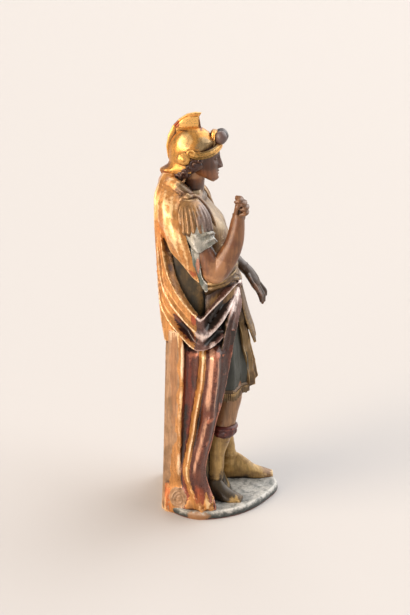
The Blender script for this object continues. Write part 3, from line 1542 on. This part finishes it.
def hip_fall():
    crests = [
        even_course([[-15, 34, 227], [-23, 35.5, 211], [-32, 32.5, 198], [-38.5, 28.5, 181], [-42, 25, 164], [-41, 20, 140]]),
        even_course([[-18, 32, 226], [-31, 30, 210], [-40, 26, 197], [-44, 23, 180], [-46, 19.5, 163], [-44, 15, 140]]),
        even_course([[-20, 29, 225], [-36, 25, 209], [-44, 20.5, 196], [-47.5, 17, 180], [-49, 14, 163], [-46, 9, 140]]),
    ]
    return curtain(
        crests, np.linspace(0, 1, 60), lambda i, v: 1.2, lambda v: 9, (-6, 2), outside="mantle_swag"
    )


def hand_cut(piece, deep, size):
    """Moves every point a little along its normal, as the cuts of a knife leave it."""
    mesh = piece.data
    count = len(mesh.vertices)
    points, normals = np.empty(count * 3), np.empty(count * 3)
    mesh.vertices.foreach_get("co", points)
    mesh.vertices.foreach_get("normal", normals)
    points, normals = points.reshape(-1, 3), normals.reshape(-1, 3)
    places = [Vector(p) for p in points / (size * MM)]
    uneven = np.array([noise.noise(p) + 0.45 * noise.noise(p * 2.7) for p in places])
    points += normals * (uneven * deep * MM)[:, None]
    mesh.vertices.foreach_set("co", points.ravel())
    mesh.update()
    return piece


def mantle():
    shells = [near_folds(), *lower_mantle(), upper_mantle(), *mantle_collar(), shoulder_fall(), swag(), hip_fall()]
    return hand_cut(fused(carving("mantle", shells, "mantle"), 0.75, faces=78000, soften=2), 0.3, 8)


# One piece of wood


def carve_whole(parts, share):
    """All parts but the thin sash are thinned to a share of their triangles, then joined as one carving."""
    for part in parts:
        if not part.name.startswith("sash"):
            thin = part.modifiers.new("thin", "DECIMATE")
            thin.ratio = share
            settle(part)
    whole = parts[0]
    for part in parts[1:]:
        join = whole.modifiers.new("join", "BOOLEAN")
        join.operation = "UNION"
        join.solver = "MANIFOLD"
        join.object = part
    settle(whole)
    for part in parts[1:]:
        bpy.data.objects.remove(part)
    return largest_skin(whole)


def largest_skin(piece):
    """Keeps the largest connected skin, so that no hidden hollow or loose sliver is left inside."""
    skin = bmesh.new()
    skin.from_mesh(piece.data)
    left, largest = set(skin.faces), set()
    while len(left) > len(largest):
        reached = {left.pop()}
        ahead = list(reached)
        while ahead:
            near = {face for edge in ahead.pop().edges for face in edge.link_faces} - reached
            reached |= near
            ahead += near
        left -= reached
        largest = max(largest, reached, key=len)
    bmesh.ops.delete(skin, geom=[face for face in skin.faces if face not in largest], context="FACES")
    skin.to_mesh(piece.data)
    skin.free()
    return piece


def figure_parts():
    parts = [
        plinth(),
        core(),
        ankle_support(),
        cuirass(),
        cuirass_edges(),
        waist_lappets(),
        head(),
        eyes(),
        hair_ground(),
        curls(),
        helmet_dome(),
        brim(),
        peak(),
        peak_roll(),
        slab("comb", COMB_OUTLINE, 5, 0.8, "gilding"),
        slab("crest", CREST_OUTLINE, 9, 1.2, "gilding"),
        neck_guard(),
        rosettes(),
    ]
    for side, arm in ((-1, RIGHT_ARM), (1, LEFT_ARM)):
        parts += [
            shoulder_lappets(side),
            armhole_rim(side),
            sleeve(side, arm),
        ]
    parts += [
        arm_and_hand("right_arm", RIGHT_ARM, right_hand()),
        arm_and_hand("left_arm", LEFT_ARM, left_hand()),
        bare_leg("right_leg", RIGHT_LEG),
        bare_leg("left_leg", LEFT_LEG),
        boot("right_boot", RIGHT_LEG, (-22, -7), (-35, 37)),
        boot("left_boot", LEFT_LEG, (20, 13), (21.5, 70.5)),
        cuff("right_cuff", *RIGHT_LEG[4][:2]),
        cuff("left_cuff", *LEFT_LEG[4][:2]),
        tunic(),
        hem_band(),
        fringe(),
        sash(),
        sash_end(),
        mantle(),
    ]
    return parts


# Wear: how far each point stands out from its surroundings, and how much of the sky it sees


def surroundings(mesh, rounds):
    """Each point's height over the mean of its surroundings, in millimetres."""
    count = len(mesh.vertices)
    points = np.empty(count * 3)
    mesh.vertices.foreach_get("co", points)
    points = points.reshape(-1, 3) / MM
    normals = np.empty(count * 3)
    mesh.vertices.foreach_get("normal", normals)
    normals = normals.reshape(-1, 3)
    edges = np.empty(len(mesh.edges) * 2, np.int64)
    mesh.edges.foreach_get("vertices", edges)
    a, b = edges.reshape(-1, 2).T
    share = np.bincount(a, minlength=count) + np.bincount(b, minlength=count)
    mean = points.copy()
    for _ in range(rounds):
        total = np.stack(
            [np.bincount(a, mean[b, k], count) + np.bincount(b, mean[a, k], count) for k in range(3)], 1
        )
        mean = 0.5 * mean + 0.5 * total / share[:, None]
    return np.einsum("ij,ij->i", points - mean, normals)


def shelter(mesh, reach, rays):
    """The share of directions in which each point meets other wood within reach."""
    tree = BVHTree.FromPolygons([v.co for v in mesh.vertices], [p.vertices for p in mesh.polygons])
    random = np.random.default_rng(5)
    directions = random.normal(size=(rays, 3))
    directions /= np.linalg.norm(directions, axis=1)[:, None]
    directions = [Vector(d) for d in directions]
    met = np.zeros(len(mesh.vertices))
    for i, v in enumerate(mesh.vertices):
        normal = v.normal
        start = v.co + normal * 0.0004
        for direction in directions:
            way = direction if direction.dot(normal) > 0 else -direction
            if tree.ray_cast(start, way, reach)[0] is not None:
                met[i] += way.dot(normal)
    return met / (rays * 0.5)


def keep(mesh, name, values):
    mesh.attributes.new(name, "FLOAT", "POINT").data.foreach_set("value", values.astype(np.float32))


def lustre_record(mesh):
    """Where the silver leaf under the glaze was bared, along the crests of the near folds."""
    places = np.empty(len(mesh.vertices) * 3)
    mesh.vertices.foreach_get("co", places)
    x, y, z = (places.reshape(-1, 3) / MM).T
    f = FOOTPRINT_MIDDLE - y
    hanging = (x < -40) & (z < 184)
    bared = np.zeros(len(z))
    for rows, shift, reach, low, high, most in (
        (BROAD_FOLD, -2.6, 3.0, 108, 190, 0.95),
        (BROAD_FOLD, -3.0, 2.6, 38, 108, 0.75),
        (BROAD_FOLD, 4.2, 1.2, 100, 168, 0.6),
        (REAR_FOLD, 0, 1.8, 138, 190, 1.0),
        (REAR_FOLD, -1, 1.3, 76, 138, 0.6),
        (REAR_FOLD, 1.2, 3.0, 34, 66, 0.85),
        (NARROW_FOLD, -0.6, 1.3, 40, 180, 0.65),
    ):
        away = f - course(rows)(np.clip(z, 0, CLOAK_TOP))[:, 0] - shift
        span = smoothstep(z, low, low + 14) * (1 - smoothstep(z, high - 6, high + 6))
        bared = np.maximum(bared, most * bump(away, reach) * span * hanging)
    first, middle, last = SWAG_CRESTS
    for rows, share, reach, start, end, most in (
        (first, 0, 2.3, 0.54, 1, 1.0),
        (middle, 0.16, 4.8, 0.54, 0.97, 1.0),
        (middle, 0.5, 1.3, 0.56, 0.9, 0.8),
        (last, 0, 1.3, 0.6, 0.97, 0.5),
        (middle, 0, 1.6, 0.05, 0.5, 0.75),
        (last, 0, 1.6, 0.05, 0.5, 0.75),
    ):
        for t in np.linspace(start, end, 60):
            t = np.array(t)
            point = rows(t) + (last(t) - rows(t)) * share
            away = np.sqrt((x - point[0]) ** 2 + (f - point[1]) ** 2 + (z - point[2]) ** 2)
            bared = np.maximum(bared, most * bump(away, reach))
    keep(mesh, "lustre", bared)


def wear_record(piece):
    mesh = piece.data
    keep(mesh, "relief", np.clip(surroundings(mesh, 6) / 0.5, -1, 1))
    keep(mesh, "broad_relief", np.clip(surroundings(mesh, 60) / 2.5, -1, 1))
    keep(mesh, "shelter", shelter(mesh, 0.03, 10))
    lustre_record(mesh)


# Finishes


def shader_group(name, sizes, results):
    tree = bpy.data.node_groups.new(name, "ShaderNodeTree")
    for label, value in sizes.items():
        socket = tree.interface.new_socket(label, in_out="INPUT", socket_type="NodeSocketFloat")
        socket.default_value = value
    for label, kind in results.items():
        tree.interface.new_socket(label, in_out="OUTPUT", socket_type=kind)
    return tree


def carved_wear():
    """Masks that every finish shares: rubbed ridges, dirt in the hollows, clouds and streaks, and a bump."""
    value = "NodeSocketFloat"
    tree = shader_group(
        "carved_wear",
        {"Rubbing": 0.5, "Dirt": 0.5, "Unevenness": 0.5},
        {"Rubbed": value, "Bared": value, "Dirty": value, "Clouds": value, "Streaks": value, "Specks": value, "Normal": "NodeSocketVector"},
    )
    w = Wiring(tree)
    place = w.node("ShaderNodeTexCoord").outputs["Object"]
    relief = w.node("ShaderNodeAttribute", attribute_name="relief").outputs["Fac"]
    broad = w.node("ShaderNodeAttribute", attribute_name="broad_relief").outputs["Fac"]
    shelter_ = w.node("ShaderNodeAttribute", attribute_name="shelter").outputs["Fac"]

    def noise(scale, detail, rough=0.6, at=place):
        node = w.node("ShaderNodeTexNoise", {"Vector": at, "Scale": scale, "Detail": detail, "Roughness": rough})
        return node.outputs["Fac"]

    def ramp(value_, low, high):
        return w.node(
            "ShaderNodeMapRange", {"Value": value_, "From Min": low, "From Max": high}, interpolation_type="SMOOTHSTEP"
        ).outputs[0]

    def maths(kind, *values):
        return w.node("ShaderNodeMath", dict(enumerate(values)), operation=kind).outputs[0]

    clouds = noise(70, 5, 0.62)
    fine = noise(420, 6, 0.7)
    specks = noise(1500, 3, 0.6)
    stretched = w.node("ShaderNodeMapping", {"Vector": place, "Scale": (1.0, 1.0, 0.16)}).outputs[0]
    streaks = noise(330, 4, 0.65, stretched)
    ridge = maths("ADD", maths("MULTIPLY", relief, 0.75), maths("MULTIPLY", broad, 0.45))
    broken = maths("ADD", ridge, maths("MULTIPLY", maths("SUBTRACT", fine, 0.5), 0.9))
    rubbed = ramp(maths("ADD", broken, maths("SUBTRACT", w.size("Rubbing"), 0.9)), 0.0, 0.45)
    deep = maths("SUBTRACT", maths("MULTIPLY", shelter_, 1.3), maths("MULTIPLY", ridge, 0.8))
    patchy = maths("ADD", deep, maths("MULTIPLY", maths("SUBTRACT", clouds, 0.5), 0.8))
    dirty = ramp(maths("ADD", patchy, maths("SUBTRACT", w.size("Dirt"), 0.95)), 0.0, 0.6)
    lustre = w.node("ShaderNodeAttribute", attribute_name="lustre").outputs["Fac"]
    smeared = maths("ADD", maths("MULTIPLY", maths("SUBTRACT", streaks, 0.5), 1.4), maths("SUBTRACT", clouds, 0.5))
    bared = maths("MULTIPLY", ramp(maths("ADD", lustre, smeared), 0.25, 1.05), ramp(lustre, 0.05, 0.4))
    height = maths("ADD", maths("MULTIPLY", clouds, 0.5), maths("ADD", maths("MULTIPLY", fine, 0.35), maths("MULTIPLY", streaks, 0.25)))
    height = maths("ADD", height, maths("MULTIPLY", specks, 0.08))
    bump_ = w.node("ShaderNodeBump", {"Height": height, "Strength": w.size("Unevenness"), "Distance": 0.0012})
    for label, socket in (
        ("Rubbed", rubbed),
        ("Bared", bared),
        ("Dirty", dirty),
        ("Clouds", clouds),
        ("Streaks", streaks),
        ("Specks", fine),
        ("Normal", bump_.outputs[0]),
    ):
        tree.links.new(socket, w.output.inputs[label])
    return tree


def patch_group():
    """A soft-edged ragged patch round a centre, with its reach along each axis."""
    tree = bpy.data.node_groups.new("patch", "ShaderNodeTree")
    for label in ("Centre", "Reach"):
        tree.interface.new_socket(label, in_out="INPUT", socket_type="NodeSocketVector")
    ragged = tree.interface.new_socket("Raggedness", in_out="INPUT", socket_type="NodeSocketFloat")
    ragged.default_value = 0.5
    tree.interface.new_socket("Mask", in_out="OUTPUT", socket_type="NodeSocketFloat")
    w = Wiring(tree)
    place = w.node("ShaderNodeTexCoord").outputs["Object"]
    noise = w.node("ShaderNodeTexNoise", {"Vector": place, "Scale": 160.0, "Detail": 5.0, "Roughness": 0.65})
    away = w.node("ShaderNodeVectorMath", {0: place, 1: w.size("Centre")}, operation="SUBTRACT")
    scaled = w.node("ShaderNodeVectorMath", {0: away.outputs[0], 1: w.size("Reach")}, operation="DIVIDE")
    length = w.node("ShaderNodeVectorMath", {0: scaled.outputs[0]}, operation="LENGTH")
    spread = w.node("ShaderNodeMath", {0: noise.outputs["Fac"], 1: -0.5}, operation="ADD")
    shift = w.node("ShaderNodeMath", {0: spread.outputs[0], 1: w.size("Raggedness")}, operation="MULTIPLY")
    shift = w.node("ShaderNodeMath", {0: shift.outputs[0], 1: 3.0, 2: length.outputs["Value"]}, operation="MULTIPLY_ADD")
    mask = w.node(
        "ShaderNodeMapRange",
        {"Value": shift.outputs[0], "From Min": 1.1, "From Max": 0.7},
        interpolation_type="SMOOTHSTEP",
    )
    tree.links.new(mask.outputs[0], w.output.inputs[0])
    return tree


WEAR = carved_wear()
PATCH = patch_group()


def tint(code):
    """A colour from six hexadecimal digits, as Blender's linear numbers."""
    parts = [int(code[i : i + 2], 16) / 255 for i in (0, 2, 4)]
    return tuple(p / 12.92 if p < 0.04045 else ((p + 0.055) / 1.055) ** 2.4 for p in parts)


def finish(
    name,
    base,
    second,
    rubbed,
    dirt,
    metal=0.0,
    gloss=0.4,
    coat=0.0,
    rubbing=0.5,
    dirtiness=0.5,
    uneven=0.35,
    bared="e8c0b0",
    patches=(),
    scuffs=(),
):
    """One finish: a base colour clouded with a second, rubbed through on the ridges and dirty in the hollows.

    Each patch is (colour, (x, f, z), (reach x, reach f, reach z), strength), laid over the base. Scuffs are
    the same, laid over everything.
    """
    material = PALETTE[FINISHES.index(name)]
    material.use_nodes = True
    tree = material.node_tree
    tree.nodes.clear()
    w = Wiring(tree, ends=False)
    wear = w.node("ShaderNodeGroup", node_tree=WEAR)
    for label, value in (("Rubbing", rubbing), ("Dirt", dirtiness), ("Unevenness", uneven)):
        wear.inputs[label].default_value = value

    def mix(factor, a, b):
        node = w.node("ShaderNodeMix", data_type="RGBA")
        for socket, value in ((node.inputs[0], factor), (node.inputs[6], a), (node.inputs[7], b)):
            if isinstance(value, bpy.types.NodeSocket):
                tree.links.new(value, socket)
            else:
                socket.default_value = (*tint(value), 1) if isinstance(value, str) else value
        return node.outputs[2]

    def ramp(value, low, high, lowest=0.0, highest=1.0):
        return w.node(
            "ShaderNodeMapRange",
            {"Value": value, "From Min": low, "From Max": high, "To Min": lowest, "To Max": highest},
            interpolation_type="SMOOTHSTEP",
        ).outputs[0]

    def with_patches(colour, rows):
        for patch_colour, centre, reach, strength in rows:
            patch = w.node("ShaderNodeGroup", node_tree=PATCH)
            patch.inputs["Centre"].default_value = world(centre)
            patch.inputs["Reach"].default_value = np.array(reach) * MM
            weight = w.node("ShaderNodeMath", {0: patch.outputs[0], 1: strength}, operation="MULTIPLY")
            colour = mix(weight.outputs[0], colour, patch_colour)
        return colour

    colour = mix(ramp(wear.outputs["Clouds"], 0.4, 0.62), base, second)
    colour = with_patches(colour, patches)
    toned = w.node("ShaderNodeVectorMath", {0: colour}, operation="SCALE")
    tree.links.new(ramp(wear.outputs["Streaks"], 0.35, 0.65, 0.78, 1.18), toned.inputs["Scale"])
    colour = mix(wear.outputs["Rubbed"], toned.outputs[0], rubbed)
    colour = mix(wear.outputs["Bared"], colour, bared)
    colour = mix(wear.outputs["Dirty"], colour, dirt)
    colour = with_patches(colour, scuffs)
    surface = w.node("ShaderNodeBsdfPrincipled", {"Base Color": colour, "Normal": wear.outputs["Normal"]})
    tree.links.new(ramp(wear.outputs["Specks"], 0.3, 0.7, gloss - 0.06, gloss + 0.12), surface.inputs["Roughness"])
    if metal:
        tree.links.new(ramp(wear.outputs["Dirty"], 0.0, 0.8, metal, metal * 0.3), surface.inputs["Metallic"])
    surface.inputs["Coat Weight"].default_value = coat
    surface.inputs["Coat Roughness"].default_value = 0.22
    w.node("ShaderNodeOutputMaterial", {"Surface": surface.outputs[0]})


def finishes():
    finish(
        "gilding", "c88c44", "ac7c3c", "eab468", "4a2410", metal=0.6, gloss=0.27, rubbing=0.4, uneven=0.2,
        patches=[
            ("8c7a5c", (-18, 4, 362), (12, 12, 13), 0.85),
            ("e4c48c", (-14, -18, 367), (9, 8, 8), 0.5),
            ("d88a3c", (0, -16, 384), (12, 18, 8), 0.8),
            ("6c5024", (-20, 2, 354), (8, 18, 6), 0.8),
            ("8c5c30", (0, -38, 338), (20, 10, 8), 0.6),
        ],
        scuffs=[
            ("7c2c18", (-4, -26.5, 381.5), (9, 3.4, 4), 0.9),
            ("5b2a18", (-4, -4, 382), (9, 2, 9), 0.85),
            ("7c3420", (-8, -40, 336), (9, 5, 3), 0.7),
            ("3a2216", (-4, -14, 375.6), (7, 13, 0.9), 0.8),
            ("e4ac60", (-26, -19.7, 352), (8, 7, 7), 0.75),
            ("745a2c", (-22, 4, 354), (10, 16, 5), 0.5),
        ],
    )
    finish(
        "flesh", "7c5232", "683f26", "ac7c54", "2c1610", gloss=0.34, coat=0.2, rubbing=0.2, dirtiness=0.35,
        patches=[
            ("46281a", (0, 4, 347), (30, 18, 13), 0.85),
            ("8c5430", (0, 0, 333), (30, 16, 8), 0.5),
            ("4a2e20", (0, -12, 317), (30, 14, 12), 0.75),
            ("96704c", (0, 15, 105), (60, 30, 30), 0.75),
        ],
        scuffs=[
            ("2c2010", (46, 36, 228), (16, 60, 60), 0.85),
            ("5c442e", (-47, 34, 316), (12, 14, 14), 0.4),
            ("b08058", (-60, 12, 256), (10, 8, 14), 0.5),
        ],
    )
    finish("hair", "321c1a", "40241c", "5c3c28", "140a08", metal=0.1, gloss=0.36, coat=0.3, rubbing=0.15)
    finish("cuirass", "8c6c44", "6a4c2c", "c4b090", "3c2412", metal=0.35, gloss=0.34, coat=0.15, rubbing=0.4, patches=[
        ("a48c6c", (-14, 18, 297), (34, 22, 18), 0.7),
        ("6c4c2c", (-20, 20, 262), (30, 20, 16), 0.7),
    ])
    finish("lappets", "8c663a", "745430", "c4a478", "241208", metal=0.4, gloss=0.3, coat=0.3, patches=[
        ("80706a", (-50, 4, 305), (20, 12, 20), 0.85),
    ], scuffs=[
        ("2c180e", (-50, -2, 289.5), (20, 30, 3.2), 0.6),
        ("5c4438", (-34, -4, 312), (12, 22, 16), 0.5),
    ])
    finish("sleeve", "a8a49a", "86857a", "ece8e0", "24261e", metal=0.3, gloss=0.26, coat=0.5, dirtiness=0.6, patches=[
        ("56645a", (-52, -8, 248), (16, 9, 26), 0.8),
        ("b87c64", (-58, -6.4, 262), (8, 1.9, 10), 0.85),
        ("6c6858", (-54, -4, 289), (12, 10, 4), 0.6),
    ])
    finish("tunic", "2f3128", "272a22", "50503f", "161410", gloss=0.38, coat=0.1, rubbing=0.2)
    finish(
        "gold_trim", "684e34", "503c24", "ac8c5c", "22140a", metal=0.3, gloss=0.36, coat=0.12, rubbing=0.3,
        patches=[("94784c", (-12, 34, 160), (14, 18, 40), 0.6)],
        scuffs=[
            ("3a2818", (0, 20, 117), (70, 60, 9), 0.75),
            ("4c3822", (-24, 4, 222), (40, 34, 16), 0.65),
        ],
    )
    finish(
        "mantle", "6a3826", "54291c", "a86448", "240c08", metal=0.35, gloss=0.3, coat=0.5, rubbing=0.38, bared="d8a486",
        patches=[
            ("7c2c18", (-50, -17, 130), (12, 5, 90), 0.5),
            ("a04820", (-55, -6, 22), (14, 7, 12), 0.7),
            ("341c14", (-46, 16, 105), (14, 9, 90), 0.85),
            ("8c4020", (-50, -18, 30), (12, 5, 30), 0.7),
        ],
    )
    finish(
        "mantle_gold", "c4884a", "ac743a", "ecc48e", "5a3018", metal=0.4, gloss=0.3, coat=0.35, rubbing=0.4,
        dirtiness=0.25, bared="f8dcb8",
        patches=[
            ("d0803c", (-40, -38, 296), (20, 7, 20), 0.6),
            ("8c2818", (-50, -14, 252), (12, 9, 5), 0.7),
            ("8c2416", (-58, -10, 210), (8, 4, 8), 0.8),
            ("a84420", (-57, -6, 24), (10, 5, 10), 0.7),
            ("b05024", (-45, -41, 12), (12, 8, 24), 0.6),
        ],
        scuffs=[("2c1e14", (-28, -18, 324), (13, 11, 12), 0.85)],
    )
    finish(
        "mantle_swag", "6c4a40", "563a32", "a88478", "1c0e0a", metal=0.4, gloss=0.28, coat=0.5, rubbing=0.3,
        bared="e8d4cc", patches=[("3c261e", (-44, 26, 180), (14, 9, 34), 0.85)],
    )
    finish("bare_wood", "a07c5c", "846444", "cca884", "4a2c18", gloss=0.4, coat=0.12, rubbing=0.3, dirtiness=0.35,
           bared="e4c8a4", patches=[("946238", (-48, -30, 150), (16, 4, 70), 0.6)])
    finish("pocket", "20140c", "2a180e", "4c3020", "0a0604", gloss=0.4, coat=0.2, rubbing=0.1)
    finish("lining", "5c4826", "3c321a", "7c6038", "100a06", gloss=0.42, coat=0.15, rubbing=0.3, scuffs=[
        ("140e08", (-26, -20, 324), (18, 16, 12), 0.9),
    ])
    finish(
        "boots", "ac8a50", "8c6c3c", "d0b07c", "241608", metal=0.15, gloss=0.36, coat=0.1,
        patches=[("6c4c38", (22, 68, 12), (12, 12, 12), 0.7)],
        scuffs=[
            ("18120a", (-30, 10, 14), (16, 30, 20), 0.88),
            ("18120a", (-14, 8, 20), (12, 18, 24), 0.88),
            ("4c3820", (-35, 41, 12), (12, 10, 14), 0.9),
        ],
    )
    finish("cuffs", "541a12", "401410", "8c4c3c", "1c0806", gloss=0.32, coat=0.2, rubbing=0.3)
    finish(
        "plinth_paint", "b0aca4", "92908a", "c4c0b8", "3a3a36", gloss=0.38, coat=0.1, rubbing=0.1, dirtiness=0.3, uneven=0.6,
        scuffs=[
            ("3c423f", (0, 14, -2), (1000, 1000, 9.3), 0.88),
            ("1e2624", (0, 14, -2), (1000, 1000, 6.4), 0.85),
            ("7c3a24", (0, 14, -1), (1000, 1000, 2.2), 0.7),
            ("b07c4c", (-62, -8, 3.5), (7, 13, 5), 0.6),
            ("3a3e3c", (-30, 26, 8), (8, 30, 5), 0.5),
        ],
    )
    finish("eyes", "6a5444", "5c4838", "8c7460", "2c1810", gloss=0.2, patches=[
        ("100804", (0, 11.2, EYE_LEVEL), (6.9, 1.6, 1.1), 1.0),
    ])
    finish("peak_roll", "281a1a", "1e1414", "5c4844", "100808", gloss=0.34, coat=0.25, rubbing=0.3)


# Set, lights and camera


def backdrop():
    mesh = bpy.data.meshes.new("floor")
    mesh.from_pydata([(-3, -6, 0), (12, -6, 0), (12, 6, 0), (-3, 6, 0)], [], [(0, 1, 2, 3)])
    floor = bpy.data.objects.new("floor", mesh)
    bpy.context.scene.collection.objects.link(floor)
    paper = bpy.data.materials.new("paper")
    paper.use_nodes = True
    surface = paper.node_tree.nodes["Principled BSDF"]
    surface.inputs["Base Color"].default_value = (*tint("c0bcba"), 1)
    surface.inputs["Roughness"].default_value = 0.8
    mesh.materials.append(paper)
    return floor


def camera():
    camera_ = bpy.data.cameras.new("camera")
    camera_.sensor_fit = "VERTICAL"
    camera_.sensor_height = 36
    camera_.lens = 72
    holder = bpy.data.objects.new("camera", camera_)
    elevation = math.radians(19.5)
    aim = Vector((0, 0.014, 0.2))
    holder.location = aim + Vector((-math.cos(elevation), 0, math.sin(elevation))) * 1.2
    holder.rotation_euler = (aim - holder.location).to_track_quat("-Z", "Y").to_euler()
    bpy.context.scene.collection.objects.link(holder)
    bpy.context.scene.camera = holder


def sunlight(name, way, strength, spread, colour):
    """Light from one direction, given as the place in the sky that it comes from."""
    light = bpy.data.lights.new(name, "SUN")
    light.energy = strength
    light.angle = math.radians(spread)
    light.color = colour
    holder = bpy.data.objects.new(name, light)
    holder.rotation_euler = Vector(way).to_track_quat("Z", "Y").to_euler()
    bpy.context.scene.collection.objects.link(holder)


def light_up():
    sunlight("window", (0.35, -1.0, 0.85), 2.5, 75, (1.0, 0.99, 0.98))
    sunlight("window_beside", (1.0, -0.4, 0.95), 1.4, 75, (1.0, 0.99, 0.98))
    sunlight("lamp", (-0.34, 0.78, 0.53), 2.0, 40, (1.0, 0.84, 0.64))
    sunlight("glow", (-0.6, 0.85, 0.1), 2.0, 40, (1.0, 0.76, 0.54))
    sunlight("card", (-0.85, 0.5, 0.08), 0.8, 20, (1.0, 0.9, 0.84))
    world_ = bpy.data.worlds.new("room")
    world_.use_nodes = True
    world_.node_tree.nodes["Background"].inputs[0].default_value = (1.0, 0.98, 0.97, 1)
    world_.node_tree.nodes["Background"].inputs[1].default_value = 0.47
    bpy.context.scene.world = world_


finishes()
statue = carve_whole(figure_parts(), 0.62)
statue.name = statue.data.name = "carved_figure"
statue.data.set_sharp_from_angle(angle=math.radians(48))
wear_record(statue)
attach(statue, "root")
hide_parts("soldier_statue")

bpy.context.scene.view_settings.view_transform = "Standard"
backdrop()
light_up()
camera()
